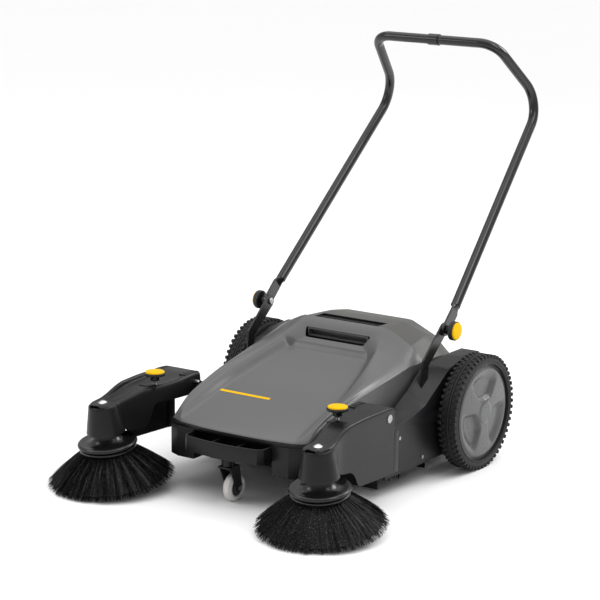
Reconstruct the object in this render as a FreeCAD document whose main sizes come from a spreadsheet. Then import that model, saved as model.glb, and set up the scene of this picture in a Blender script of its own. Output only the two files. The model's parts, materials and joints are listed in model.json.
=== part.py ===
"""Walk-behind sweeper: belt-driven roller brush, two side brushes, rear waste container, folding handle.

The origin lies on the floor under the wheel axle, midway between the wheels. The machine faces -Y, +Z is up.
Every right-hand piece is built once, and its left-hand twin is its mirror image about the YZ plane.
"""
import FreeCAD, Part
import math
import os
import re

import Sketcher
from FreeCAD import Placement, Rotation, Vector

SIZES = {
    # wheels
    "wheel_radius": 146, "tyre_width": 52, "tyre_depth": 24, "wheel_gap": 12, "rim_wall": 5,
    "hub_cap_depth": 12, "axle_radius": 10, "bush_wall": 4,
    # side frames
    "frame_half_width": 292, "pod_width": 50, "wall": 4, "ground_clearance": 50, "pod_front": 362,
    "pod_rear": 150, "pod_rise": -11, "hump_height": 209, "strip_height": 174,
    # roller brush and its tunnel
    "roller_setback": 215, "roller_radius": 82, "core_radius": 45, "shaft_radius": 8,
    "roller_side_gap": 6, "tunnel_gap": 12, "skirt_thickness": 3, "skirt_lift": 5,
    # pulleys and belts
    "wheel_groove": 38, "drive_groove": 19, "hinge_groove": 12, "spindle_groove": 16,
    "groove_width": 8, "flange_width": 3, "flange_rise": 5, "belt_width": 7, "belt_thickness": 3,
    "cord_radius": 2, "belt_gap": 0.3,
    # fits
    "running_clearance": 0.05, "part_gap": 0.5,
    # side brushes
    "brush_overhang": 16, "brush_front": 657, "brush_radius": 158, "brush_tilt": 7.44,
    "tilt_heading": 11.3, "disc_radius": 73, "disc_height": 92, "neck_radius": 30, "rim_thickness": 12,
    "spindle_radius": 8, "spindle_pulley_height": 170, "dome_base": 121, "dome_top": 192,
    "dome_base_radius": 47.5, "dome_top_radius": 35, "bristle_root_radius": 66,
    # arms
    "hinge_front": 420, "hinge_height": 223, "hinge_bolt_radius": 6, "arm_overhang": 43, "arm_width": 118,
    "arm_top": 247, "arm_rear": 352, "tongue_radius": 15, "tongue_width": 9,
    "arm_step": 195, "arm_skirt": 185, "arm_foot": 83, "arm_chin": 140, "arm_nose_drop": 31,
    "arm_room_opening": 30,
    # knobs on the arms
    "arm_knob_inset": 24, "arm_knob_front": 536, "knob_rim_radius": 26, "knob_cap_radius": 23.5,
    "knob_neck_radius": 11, "knob_neck_height": 11, "knob_rim_height": 9, "knob_cap_height": 4.5,
    "stud_radius": 4,
    # hood and container
    "hood_front": 583, "hood_rear": 100, "hood_base": 165, "hood_gap": 8, "hood_top": 351,
    "container_rear": 165, "container_base": 66, "container_gap": 12, "seam_gap": 2,
    "mouth_height": 124, "flank_rise": 28,
    "grip_half_width": 98, "grip_depth": 32, "grip_length": 40,
    # front bumper
    "deck_thickness": 8, "deck_gap": 9, "tray_half_width": 115, "tray_front": 635,
    "tray_lip": 155, "tray_base": 118, "tray_bow": 9, "tray_bevel": 12, "corner_front": 582,
    "corner_length": 110, "corner_base": 84,
    # caster
    "caster_setback": 598, "caster_trail": 24, "caster_radius": 34, "caster_width": 24,
    "fork_wall": 3, "caster_axle_radius": 4, "stem_radius": 7, "caster_plate_thickness": 4,
    "swivel_radius": 16, "crown_drop": 22,
    # handle
    "tube_radius": 12.5, "tube_wall": 1.6, "fold_front": 58, "fold_rise": 66, "fold_inset": 25.5,
    "bracket_thickness": 5, "eye_radius": 16, "flat_thickness": 6, "elbow_side": 226, "elbow_rear": 477,
    "elbow_height": 862, "bar_side": 182, "bar_rear": 306, "bar_height": 1026, "elbow_bend": 75,
    "corner_bend": 55, "sleeve_half_length": 15, "sleeve_wall": 2.5, "clamp_bolt_radius": 5,
    "clamp_knob_radius": 24, "clamp_knob_length": 34, "foot_length": 72, "flat_length": 56,
    # small parts
    "nut_radius": 16, "boss_wall": 12, "screw_radius": 4.5, "screw_height": 2.5, "seat_overlap": 0.5,
    "bearing_wall": 6,
}

PLACES = {
    "pod_inner": "frame_half_width - pod_width",
    "pod_top": "2 * wheel_radius + pod_rise",
    "brush_side": "frame_half_width + brush_overhang",
    "arm_outer": "frame_half_width + arm_overhang",
    "arm_inner": "arm_outer - arm_width",
    "arm_knob_side": "frame_half_width - arm_knob_inset",
    "hood_half_width": "pod_inner - hood_gap",
    "container_half_width": "pod_inner - container_gap",
    "deck_half_width": "arm_inner - deck_gap",
    "fold_side": "frame_half_width - fold_inset",
    "fold_height": "2 * wheel_radius + fold_rise",
    "cavity_inner": "pod_inner + wall",
    "cavity_outer": "frame_half_width - wall",
    "tyre_inner": "frame_half_width + wheel_gap",
    "tyre_outer": "tyre_inner + tyre_width",
    "rim_radius": "wheel_radius - tyre_depth",
    "pulley_width": "groove_width + 2 * flange_width",
    "outer_belt": "cavity_outer - 2 - pulley_width / 2",
    "inner_belt": "outer_belt - pulley_width - 3",
    "arm_belt": "inner_belt + 38",
    "tunnel_radius": "roller_radius + tunnel_gap",
    "roller_half_length": "pod_inner - roller_side_gap",
    "deck_base": "hood_base - deck_thickness",
    "knob_seat": "arm_top - seat_overlap",
    "flat_outer": "fold_side + flat_thickness",
}

DOCUMENT = FreeCAD.newDocument("Sweeper")
SHEET = DOCUMENT.addObject("Spreadsheet::Sheet", "Sizes")
NODES = {}


def fill_sheet():
    """Write each driving size into the sheet under its own alias."""
    for row, (alias, number) in enumerate(SIZES.items(), start=1):
        SHEET.set(f"A{row}", alias)
        SHEET.set(f"B{row}", str(number))
        SHEET.setAlias(f"B{row}", alias)
    DOCUMENT.recompute()


def bound(text):
    """Turn an expression in plain names into one that reads the sheet."""
    def swap(match):
        word = match.group(0)
        if word in PLACES:
            return f"({bound(PLACES[word])})"
        return f"Sizes.{word}" if word in SIZES else word
    return re.sub(r"[a-z]+(?:_[a-z]+)*", swap, str(text))


def size(text):
    """Read a plain-name expression as a number."""
    return float(SHEET.evalExpression(bound(text)))


def own_plane(body, role):
    """Find one of a body's own origin planes."""
    return next(plane for plane in body.Origin.OriginFeatures if plane.Role == role)


def sketch_on(body, name, outline, role, offset="0"):
    """Draw a closed outline of straight lines whose corners are all bound to the sheet."""
    sketch = body.newObject("Sketcher::SketchObject", name)
    sketch.AttachmentSupport = [(own_plane(body, role), "")]
    sketch.MapMode = "FlatFace"
    sketch.setExpression("AttachmentOffset.Base.z", bound(offset))
    corners = [Vector(size(across), size(along), 0) for across, along in outline]
    count = len(corners)
    lines = [Part.LineSegment(corners[at], corners[(at + 1) % count]) for at in range(count)]
    sketch.addGeometry(lines, False)
    sketch.addConstraint([Sketcher.Constraint("Coincident", at, 2, (at + 1) % count,
                                              1) for at in range(count)])
    for at, corner in enumerate(outline):
        for kind, text in zip(("DistanceX", "DistanceY"), corner):
            index = sketch.addConstraint(Sketcher.Constraint(kind, -1, 1, at, 1, size(text)))
            sketch.setExpression(f"Constraints[{index}]", bound(text))
    return sketch


def new_body(name):
    """Add an empty body."""
    return DOCUMENT.addObject("PartDesign::Body", name)


def slab(name, outline, role, start, end):
    """Pad an outline between two places along the normal of its plane."""
    body = new_body(name)
    pad = body.newObject("PartDesign::Pad", f"{name}Pad")
    pad.Profile = sketch_on(body, f"{name}Sketch", outline, role, start)
    pad.setExpression("Length", bound(f"({end}) - ({start})"))
    body.Tip = pad
    return body


def turned(name, outline, upright=False):
    """Revolve an outline about the X axis, or about the Z axis if it is upright."""
    body = new_body(name)
    sketch = sketch_on(body, f"{name}Sketch", outline, "XZ_Plane")
    spin = body.newObject("PartDesign::Revolution", f"{name}Turn")
    spin.Profile = sketch
    spin.ReferenceAxis = (sketch, ["V_Axis" if upright else "H_Axis"])
    spin.Angle = 360
    body.Tip = spin
    return body


def lofted(name, stations, inner_stations=()):
    """Loft straight-sided sections along Y, and hollow the loft with a second one."""
    body = new_body(name)
    for kind, group in (("Additive", stations), ("Subtractive", inner_stations)):
        if not group:
            continue
        sketches = [sketch_on(body, f"{name}{kind}{at}", outline, "XZ_Plane", f"-({along})")
                    for at, (along, outline) in enumerate(group)]
        loft = body.newObject(f"PartDesign::{kind}Loft", f"{name}{kind}Loft")
        loft.Profile = sketches[0]
        loft.Sections = sketches[1:]
        loft.Ruled = True
        body.Tip = loft
        DOCUMENT.recompute()
    return body


def block(name, low, high):
    """A box between two corners given in plain names."""
    box = DOCUMENT.addObject("Part::Box", name)
    for side, axis, start, end in zip(("Length", "Width", "Height"), "xyz", low, high):
        box.setExpression(side, bound(f"({end}) - ({start})"))
        box.setExpression(f"Placement.Base.{axis}", bound(start))
    return box


TURNS = {"x": Rotation(Vector(0, 1, 0), 90), "y": Rotation(Vector(1, 0, 0), -90), "z": Rotation()}


def rod(name, radius, start, length, along="x"):
    """A cylinder that starts at a place and runs along one axis."""
    cylinder = DOCUMENT.addObject("Part::Cylinder", name)
    cylinder.Placement = Placement(Vector(), TURNS[along])
    cylinder.setExpression("Radius", bound(radius))
    cylinder.setExpression("Height", bound(length))
    for axis, text in zip("xyz", start):
        cylinder.setExpression(f"Placement.Base.{axis}", bound(text))
    return cylinder


def cut(name, base, tool):
    """Take one solid out of another."""
    result = DOCUMENT.addObject("Part::Cut", name)
    result.Base, result.Tool = base, tool
    return result


def joined(name, shapes):
    """Fuse solids into one."""
    result = DOCUMENT.addObject("Part::MultiFuse", name)
    result.Shapes = shapes
    result.Refine = True
    return result


def shared(name, shapes):
    """Keep what several solids have in common."""
    result = DOCUMENT.addObject("Part::MultiCommon", name)
    result.Shapes = shapes
    return result


def group(name, shapes):
    """Keep several separate solids together."""
    result = DOCUMENT.addObject("Part::Compound", name)
    result.Links = shapes
    return result


def mirrored(name, source):
    """The left-hand twin of a right-hand piece."""
    result = DOCUMENT.addObject("Part::Mirroring", name)
    result.Source = source
    result.Normal = Vector(1, 0, 0)
    return result


def fixed(name, shape, placement=None):
    """Hold a shape that is worked out in code."""
    result = DOCUMENT.addObject("Part::Feature", name)
    result.Shape = shape
    result.Placement = placement or Placement()
    return result


def node(label, piece):
    """Register a finished sub-part under its own label."""
    piece.Label = label
    NODES[label] = piece
    return piece


def node_pair(label, piece):
    """Register a right-hand piece and its mirrored twin as two sub-parts."""
    node(f"{label}_right", piece)
    node(f"{label}_left", mirrored(f"{piece.Name}Twin", piece))
    return piece


def node_both(label, piece):
    """Register a right-hand piece and its twin together as one sub-part."""
    return node(label, group(f"{piece.Name}Both", [piece, mirrored(f"{piece.Name}Twin", piece)]))


def at_height(body, height, along="0"):
    """Raise a body that was turned about its own axis to that axis's place."""
    body.setExpression("Placement.Base.z", bound(height))
    body.setExpression("Placement.Base.y", bound(along))
    return body


# ---------------------------------------------------------------- frame

def pod_outline(top_line):
    """Close a side frame's top line with its straight lower edge."""
    base = [("-pod_front", "ground_clearance"), ("pod_rear", "ground_clearance")]
    return base + list(reversed(top_line))


def pod_solid(name, inset="0"):
    """The side frame's solid shape: its top strip leans outward, so it is a loft between two side views."""
    inner_line = [("-pod_front", "hump_height"), ("-pod_front + 44", "strip_height + 6"),
                  ("-pod_front + 112", "strip_height + 21"), ("-pod_front + 172", "strip_height + 51"),
                  ("-pod_front + 229", "strip_height + 92"), ("-pod_front + 275", "pod_top - 6"),
                  ("0", "pod_top"), ("pod_rear - 80", "pod_top"), ("pod_rear", "pod_top - 60")]
    outer_line = [("-pod_front", "hump_height"), ("-pod_front + 44", "strip_height"),
                  ("-pod_front + 112", "strip_height + 7"), ("-pod_front + 177", "strip_height + 20.5"),
                  ("-pod_front + 232", "strip_height + 54"), ("-pod_front + 284", "strip_height + 88"),
                  ("-10", "pod_top - 2"), ("pod_rear - 80", "pod_top"), ("pod_rear", "pod_top - 60")]
    body = new_body(name)
    lowered = "{} - ({})"
    sketches = []
    for side, line in (("pod_inner", inner_line), ("frame_half_width", outer_line)):
        shifted = [(along, lowered.format(height, inset)) for along, height in line]
        sketches.append(sketch_on(body, f"{name}{side}", pod_outline(shifted), "YZ_Plane", side))
    loft = body.newObject("PartDesign::AdditiveLoft", f"{name}Loft")
    loft.Profile = sketches[0]
    loft.Sections = sketches[1:]
    loft.Ruled = True
    body.Tip = loft
    return body


def build_side_frames():
    """Hollow side frames that hold the belts, with the arm's hinge tongue and the axle's boss."""
    shell = pod_solid("PodShell")
    hollow = shared("PodHollow", [pod_solid("PodInside", "wall + 1"),
                                  block("PodRoom", ("cavity_inner", "-pod_front - 5", "0"),
                                        ("cavity_outer", "pod_rear - wall", "pod_top"))])
    tongue_top = "hinge_height + tongue_radius"
    tongue_outline = [("-hinge_front", "hinge_height - tongue_radius"),
                      ("-pod_front + 30", "hinge_height - 75"),
                      ("-pod_front + 30", "hump_height - 30"), ("-pod_front - 1", "hump_height - 6"),
                      ("-hinge_front + 10", f"{tongue_top} - 4"), ("-hinge_front", f"{tongue_top} - 1")]
    tongue_end = "cavity_inner + tongue_width"
    tongue = slab("HingeTongue", tongue_outline, "YZ_Plane", "pod_inner", tongue_end)
    eye = rod("HingeEye", "tongue_radius", ("pod_inner", "-hinge_front", "hinge_height"),
              "wall + tongue_width")
    boss = rod("AxleBoss", "axle_radius + boss_wall", ("pod_inner", "0", "wheel_radius"),
               "outer_belt - pulley_width / 2 - 3 - pod_inner")
    solid = joined("PodSolid", [cut("PodHollowed", shell, hollow), tongue, eye, boss])
    bores = group("PodBores", [
        rod("HingeBore", "hinge_bolt_radius + running_clearance",
            ("pod_inner - 5", "-hinge_front", "hinge_height"),
            "wall + tongue_width + 10"),
        rod("AxleBore", "axle_radius", ("pod_inner - 5", "0", "wheel_radius"), "outer_belt - pod_inner"),
        rod("SleeveHole", "axle_radius + bush_wall + 11", ("cavity_outer - 2", "0", "wheel_radius"),
            "wall + 4"),
        rod("ShaftHole", "shaft_radius + 8", ("pod_inner - 5", "-roller_setback", "roller_radius"),
            "wall + 9")])
    node_pair("side_frame", cut("SideFrame", solid, bores))


def build_axles():
    """Fixed stub axles that carry the wheels, each with a nut on its inner end and a washer outside."""
    outline = [("pod_inner - 6", "0"), ("pod_inner - 6", "nut_radius"), ("pod_inner", "nut_radius"),
               ("pod_inner", "axle_radius"), ("tyre_outer - 14", "axle_radius"),
               ("tyre_outer - 14", "axle_radius + 3"),
               ("tyre_outer - 9", "axle_radius + 3"), ("tyre_outer - 9", "0")]
    node_both("stub_axles", at_height(turned("StubAxle", outline), "wheel_radius"))


def ring_half(name, radius, start, length, height, along):
    """Upper part of a round cover, open below and towards the rear."""
    centre = (start, along, height)
    drum = rod(f"{name}Drum", f"{radius} + wall", centre, length)
    core = rod(f"{name}Core", radius, (f"{start} - 1", along, height), f"{length} + 2")
    reach = f"{radius} + wall + 5"
    below = block(f"{name}Below", (f"{start} - 1", f"{along} - ({reach})", f"{height} - ({reach})"),
                  (f"{start} + {length} + 1", f"{along} + {reach}", height))
    behind = block(f"{name}Behind", (f"{start} - 1", f"{along} + ({radius}) * 0.72", f"{height} - 1"),
                   (f"{start} + {length} + 1", f"{along} + {reach}", f"{height} + {reach}"))
    return cut(name, drum, group(f"{name}Tools", [core, below, behind]))


def build_tunnel():
    """The curved cover over the roller brush, and rubber skirts before and behind it."""
    node("brush_tunnel", ring_half("Tunnel", "tunnel_radius", "-pod_inner", "2 * pod_inner",
                                   "roller_radius", "-roller_setback"))
    reach = "pod_inner - 2"
    front = "-roller_setback - tunnel_radius - wall"
    skirt_low = "skirt_lift"
    front_skirt = block("FrontSkirt", (f"-({reach})", f"{front} - skirt_thickness", skirt_low),
                        (reach, front, "roller_radius + 10"))
    rear_skirt = block("RearSkirt", (f"-({reach})", "-hood_rear + 3", skirt_low),
                       (reach, "-hood_rear + 3 + skirt_thickness", "container_base - 4"))
    node("rubber_skirts", group("Skirts", [front_skirt, rear_skirt]))


def two_sided(half):
    """Close the right half of an outline with its mirror image."""
    return half + [(f"-({across})", along) for across, along in reversed(half)]


def build_bumper():
    """Front deck with the open tray, its ribs and the two corner boxes."""
    half = [("0", "-hood_front"), ("112", "-hood_front"), ("172", "-hood_front + 11"),
            ("deck_half_width", "-hood_front + 33"), ("deck_half_width", "-arm_rear + 7"),
            ("pod_inner", "-arm_rear + 7"), ("pod_inner", "-arm_rear + 30"), ("0", "-arm_rear + 30")]
    deck = slab("Deck", half, "XY_Plane", "deck_base", "hood_base")
    tray_half = [("tray_half_width / 3", "-tray_front"),
                 ("tray_half_width - tray_bevel", "-tray_front + tray_bow"),
                 ("tray_half_width", "-tray_front + tray_bow + tray_bevel"),
                 ("tray_half_width", "-hood_front + 20")]
    tray = slab("TrayBlock", two_sided(tray_half), "XY_Plane", "tray_base", "tray_lip")
    room_half = [("tray_half_width / 3", "-tray_front + wall"),
                 ("tray_half_width - tray_bevel - wall / 2", "-tray_front + tray_bow + wall"),
                 ("tray_half_width - wall", "-tray_front + tray_bow + tray_bevel + wall / 2"),
                 ("tray_half_width - wall", "-hood_front + 20 - wall")]
    tray_room = slab("TrayRoom", two_sided(room_half), "XY_Plane", "tray_base + wall", "tray_lip + 1")
    ribs = [block(f"TrayRib{at}", (place, "-tray_front + 2", "tray_base + 2"),
                  (f"{place} + wall", "-hood_front + 18", "tray_lip - 6"))
            for at, place in enumerate(("-tray_half_width / 3", "tray_half_width / 3 - wall"))]
    back = block("TrayBack", ("-tray_half_width", "-hood_front + 12", "tray_lip - 6"),
                 ("tray_half_width", "-hood_front + 20", "deck_base + 1"))
    corner_outline = [("tray_half_width", "-corner_front"), ("deck_half_width - 46", "-corner_front"),
                      ("deck_half_width - 15", "-corner_front + 14"),
                      ("deck_half_width", "-corner_front + 46"),
                      ("deck_half_width", "-corner_front + corner_length"),
                      ("tray_half_width", "-corner_front + corner_length")]
    corner = slab("CornerBox", corner_outline, "XY_Plane", "corner_base", "deck_base + 1")
    room_outline = [("tray_half_width + wall", "-corner_front + wall"),
                    ("deck_half_width - 48", "-corner_front + wall"),
                    ("deck_half_width - 15 - wall", "-corner_front + 14 + wall / 2"),
                    ("deck_half_width - wall", "-corner_front + 46"),
                    ("deck_half_width - wall", "-corner_front + corner_length + 5"),
                    ("tray_half_width + wall", "-corner_front + corner_length + 5")]
    corner_room = slab("CornerRoom", room_outline, "XY_Plane", "corner_base - 5", "deck_base - 2")
    hollow_corner = cut("CornerHollow", corner, corner_room)
    pieces = [cut("TrayOpen", tray, tray_room), back, *ribs]
    for piece in (deck, hollow_corner):
        pieces += [piece, mirrored(f"{piece.Name}Twin", piece)]
    node("front_bumper", joined("Bumper", pieces))


def section(base, crease, shoulder, ridge, panel):
    """A symmetric cross-section from five corners of its right half, each given across and up."""
    half = [base, crease, shoulder, ridge, panel]
    return half + [(f"-({across})", height) for across, height in reversed(half)]


def hood_section(width, crease, shoulder, ridge, panel, base="0", inset="0"):
    """One hood cross-section, in sizes below the hood's own width and above its base."""
    points = [(f"{width} - ({inset})", f"hood_base + {base} - ({inset}) * 3")]
    points.append((f"{width} - ({inset})", f"hood_base + {crease} - ({inset})"))
    for across, rise in (shoulder, ridge, panel):
        points.append((f"{across} - ({inset}) / 2", f"hood_base + {rise} - ({inset})"))
    return section(*points)


def build_hood():
    """The hood: a flat flank up to a crease, a shoulder, a ridge and the sunk centre panel."""
    views = [
        ("-hood_front", ("112", "3", ("108", "4"), ("104", "5"), ("96", "6"))),
        ("-hood_front + 11", ("hood_half_width - 62", "8", ("164", "11"), ("156", "12"), ("140", "9"))),
        ("-hood_front + 33", ("hood_half_width - 32", "21", ("194", "27"), ("184", "27"), ("164", "16"))),
        ("-hood_front + 225", ("hood_half_width - 18.5", "63.5", ("199", "72"), ("180", "76"),
                               ("160", "60"))),
        ("-hood_rear - 60", ("hood_half_width - 4", "109", ("189", "127"), ("132", "140"), ("112", "108"),
                             "flank_rise")),
        ("-hood_rear - 46", ("hood_half_width - 3", "111", ("190", "131"), ("127", "151"), ("110", "127"),
                             "flank_rise")),
        ("-hood_rear", ("hood_half_width", "116", ("197", "149"), ("118", "hood_top - hood_base - 2"),
                        ("100", "hood_top - hood_base"), "flank_rise"))]
    outside = [(along, hood_section(*view)) for along, view in views]
    inside = [(along, hood_section(*view, inset="wall")) for along, view in views[2:]]
    inside[-1] = ("-hood_rear + 1", inside[-1][1])
    shell = lofted("HoodShell", outside, inside)
    slot = block("HoodSlot", ("-grip_half_width + 8", "-hood_rear - 60", "hood_top - 44"),
                 ("grip_half_width - 8", "-hood_rear - 8", "hood_top - 24"))
    node("hood", cut("Hood", shell, slot))
    low = ("-grip_half_width + 8", "-hood_rear - 34", "hood_top - 44")
    high = ("grip_half_width - 8", "-hood_rear - 6", "hood_top - 24")
    liner = block("LinerBlock", low, high)
    room = block("LinerRoom", ("-grip_half_width + 11", "-hood_rear - 40", "hood_top - 41"),
                 ("grip_half_width - 11", "-hood_rear - 9", "hood_top - 27"))
    node("hood_grip_liner", cut("Liner", liner, room))


def build_container():
    """The waste container: a closed tub with its mouth towards the roller brush and a sunk grip on top."""
    front = "-hood_rear + seam_gap"

    def view(width, crease, shoulder, ridge, panel, base="container_base", inset="0"):
        points = [(f"container_half_width - {width} - ({inset})", f"{base} + ({inset})")]
        points.append((f"container_half_width - {width} - ({inset})", f"hood_top - {crease} - ({inset}) / 2"))
        for across, drop in (shoulder, ridge, panel):
            points.append((f"{across} - ({inset}) / 2", f"hood_top - {drop} - ({inset})"))
        return section(*points)

    views = [(front, ("0", "72", ("195", "39"), ("116", "4"), ("98", "2"))),
             ("0", ("2", "76", ("182", "29"), ("110", "6"), ("96", "5"))),
             ("container_rear - 110", ("6", "96", ("172", "43"), ("106", "14"), ("92", "12"))),
             ("container_rear", ("18", "160", ("160", "126"), ("100", "112"), ("88", "110")))]
    outside = [(along, view(*shape)) for along, shape in views]
    inside = [(along, view(*shape, inset="wall")) for along, shape in views]
    inside[0] = (f"{front} + wall", inside[0][1])
    inside[-1] = ("container_rear - wall", inside[-1][1])
    shell = lofted("TubShell", outside, inside)
    mouth = block("TubMouth", ("-container_half_width + 12", f"{front} - 1", "container_base + wall"),
                  ("container_half_width - 12", f"{front} + wall + 1", "container_base + mouth_height"))
    hole = block("TubGripHole", ("-grip_half_width", f"{front} + 8", "hood_top - 2 - grip_depth"),
                 ("grip_half_width", f"{front} + 8 + grip_length", "hood_top + 5"))
    node("container_tub", cut("Tub", cut("TubOpen", shell, mouth), hole))
    tray = shared("GripTrayTrim", [
        block("GripTray", ("-grip_half_width", f"{front} + 8", "hood_top - 2 - grip_depth"),
              ("grip_half_width", f"{front} + 8 + grip_length", "hood_top + 5")),
        lofted("GripTrayEnvelope", [(along, view(*shape)) for along, shape in views[:2]])])
    room = block("GripRoom", ("-grip_half_width + 3", f"{front} + 11", "hood_top + 1 - grip_depth"),
                 ("grip_half_width - 3", f"{front} + 5 + grip_length", "hood_top + 6"))
    bar = block("GripBar", ("-grip_half_width + 2", f"{front} + 4 + grip_length - 12", "hood_top - 20"),
                ("grip_half_width - 2", f"{front} + 6 + grip_length", "hood_top - 8"))
    node("container_grip", joined("Grip", [cut("GripTrayOpen", tray, room), bar]))


# ---------------------------------------------------------------- wheels and belts

def build_wheels():
    """Tyre, rim with its belt pulley, hub cap and bush, turned about the axle."""
    tyre = [("tyre_inner", "rim_radius"), ("tyre_outer - 2", "rim_radius"),
            ("tyre_outer - 1", "wheel_radius - 10"),
            ("tyre_outer - 5", "wheel_radius"), ("tyre_inner + 4", "wheel_radius"),
            ("tyre_inner", "wheel_radius - 8")]
    node_pair("tyre", at_height(turned("Tyre", tyre), "wheel_radius"))
    bore = "axle_radius + bush_wall"
    sleeve = f"{bore} + 6"
    low = "outer_belt - pulley_width / 2"
    high = "outer_belt + pulley_width / 2"
    rim = [(low, bore), (low, "wheel_groove + flange_rise"),
           (f"{low} + flange_width", "wheel_groove + flange_rise"),
           (f"{low} + flange_width", "wheel_groove"), (f"{high} - flange_width", "wheel_groove"),
           (f"{high} - flange_width", "wheel_groove + flange_rise"), (high, "wheel_groove + flange_rise"),
           (high, sleeve), ("tyre_inner + 18", sleeve), ("tyre_inner + 18", "rim_radius - rim_wall"),
           ("tyre_inner", "rim_radius - rim_wall"), ("tyre_inner", "rim_radius"),
           ("tyre_outer - hub_cap_depth - 6", "rim_radius"),
           ("tyre_outer - hub_cap_depth - 6", "rim_radius - rim_wall"),
           ("tyre_inner + 24", "rim_radius - rim_wall"), ("tyre_inner + 24", sleeve),
           ("tyre_outer - 16", sleeve), ("tyre_outer - 16", bore)]
    node_pair("wheel_rim", at_height(turned("Rim", rim), "wheel_radius"))
    cap = [("tyre_outer - 5", "0"), ("tyre_outer", "0"), ("tyre_outer - 2", "rim_radius * 0.55"),
           ("tyre_outer - 4", "rim_radius - 6"), ("tyre_outer - 7", "rim_radius"),
           ("tyre_outer - hub_cap_depth - 6", "rim_radius"),
           ("tyre_outer - hub_cap_depth - 6", "rim_radius - 4"),
           ("tyre_outer - 10", "rim_radius - 4"), ("tyre_outer - 8", "rim_radius - 10")]
    node_pair("hub_cap", at_height(turned("HubCap", cap), "wheel_radius"))
    bush = [(low, "axle_radius + running_clearance"), ("tyre_outer - 16", "axle_radius + running_clearance"),
            ("tyre_outer - 16", bore), (low, bore)]
    node_pair("wheel_bush", at_height(turned("WheelBush", bush), "wheel_radius"))


def pulley_outline(bore, grooves, ends):
    """A turned pulley's outline: a body with flanges and one or two belt grooves."""
    low, high = ends
    points = [(low, bore)]
    for place, radius in grooves:
        start, end = f"{place} - groove_width / 2", f"{place} + groove_width / 2"
        flange = f"{radius} + flange_rise"
        points += [(f"{start} - flange_width", flange), (start, flange), (start, radius), (end, radius),
                   (end, flange), (f"{end} + flange_width", flange)]
    points.insert(1, (low, points[1][1]))
    points += [(high, points[-1][1]), (high, bore)]
    return [point for at, point in enumerate(points) if at == 0 or not same_place(point, points[at - 1])]


def same_place(one, other):
    """Whether two outline corners fall on the same spot."""
    return all(abs(size(first) - size(second)) < 1e-6 for first, second in zip(one, other))


def build_pulleys():
    """Free-wheel pulleys on the roller's shaft ends, and the pulleys on the arms' hinge bolts."""
    drive = pulley_outline("shaft_radius + running_clearance",
                           [("inner_belt", "hinge_groove"), ("outer_belt", "drive_groove")],
                           ("inner_belt - pulley_width / 2", "outer_belt + pulley_width / 2"))
    node_pair("drive_pulley", at_height(turned("DrivePulley", drive), "roller_radius", "-roller_setback"))
    hinge = pulley_outline("hinge_bolt_radius + running_clearance",
                           [("inner_belt", "hinge_groove"), ("arm_belt", "hinge_groove")],
                           ("inner_belt - pulley_width / 2", "arm_belt + pulley_width / 2"))
    node_pair("hinge_pulley", at_height(turned("HingePulley", hinge), "hinge_height", "-hinge_front"))


def loop_face(first, first_radius, second, second_radius):
    """A face round two circles in the YZ plane, like a belt's outline."""
    along = second - first
    spread = math.acos((first_radius - second_radius) / along.Length)
    heading = math.atan2(along.z, along.y)

    def spot(centre, radius, angle):
        return centre + Vector(0, radius * math.cos(angle), radius * math.sin(angle))

    up, down = heading + spread, heading - spread
    edges = [Part.LineSegment(spot(first, first_radius, up), spot(second, second_radius, up)),
             Part.Arc(spot(second, second_radius, up), spot(second, second_radius, heading),
                      spot(second, second_radius, down)),
             Part.LineSegment(spot(second, second_radius, down), spot(first, first_radius, down)),
             Part.Arc(spot(first, first_radius, down), spot(first, first_radius, heading + math.pi),
                      spot(first, first_radius, up))]
    return Part.Face(Part.Wire([edge.toShape() for edge in edges]))


def flat_belt(plane, first, first_radius, second, second_radius):
    """A flat belt round two pulleys, just clear of their grooves."""
    gap, thickness, width = size("belt_gap"), size("belt_thickness"), size("belt_width")
    start = Vector(size(plane) - width / 2, 0, 0)
    outer = loop_face(first + start, first_radius + gap + thickness, second + start,
                      second_radius + gap + thickness)
    inner = loop_face(first + start, first_radius + gap, second + start, second_radius + gap)
    return outer.cut(inner).extrude(Vector(width, 0, 0))


def build_belts():
    """Flat belts inside each side frame: wheel to drive pulley, and drive pulley to hinge pulley."""
    wheel = Vector(0, 0, size("wheel_radius"))
    roller = Vector(0, -size("roller_setback"), size("roller_radius"))
    hinge = Vector(0, -size("hinge_front"), size("hinge_height"))
    right = [flat_belt("outer_belt", wheel, size("wheel_groove"), roller, size("drive_groove")),
             flat_belt("inner_belt", roller, size("hinge_groove"), hinge, size("hinge_groove"))]
    left = [belt.mirror(Vector(), Vector(1, 0, 0)) for belt in right]
    node("drive_belts", fixed("DriveBelts", Part.makeCompound(right + left)))


# ---------------------------------------------------------------- roller brush

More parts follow.
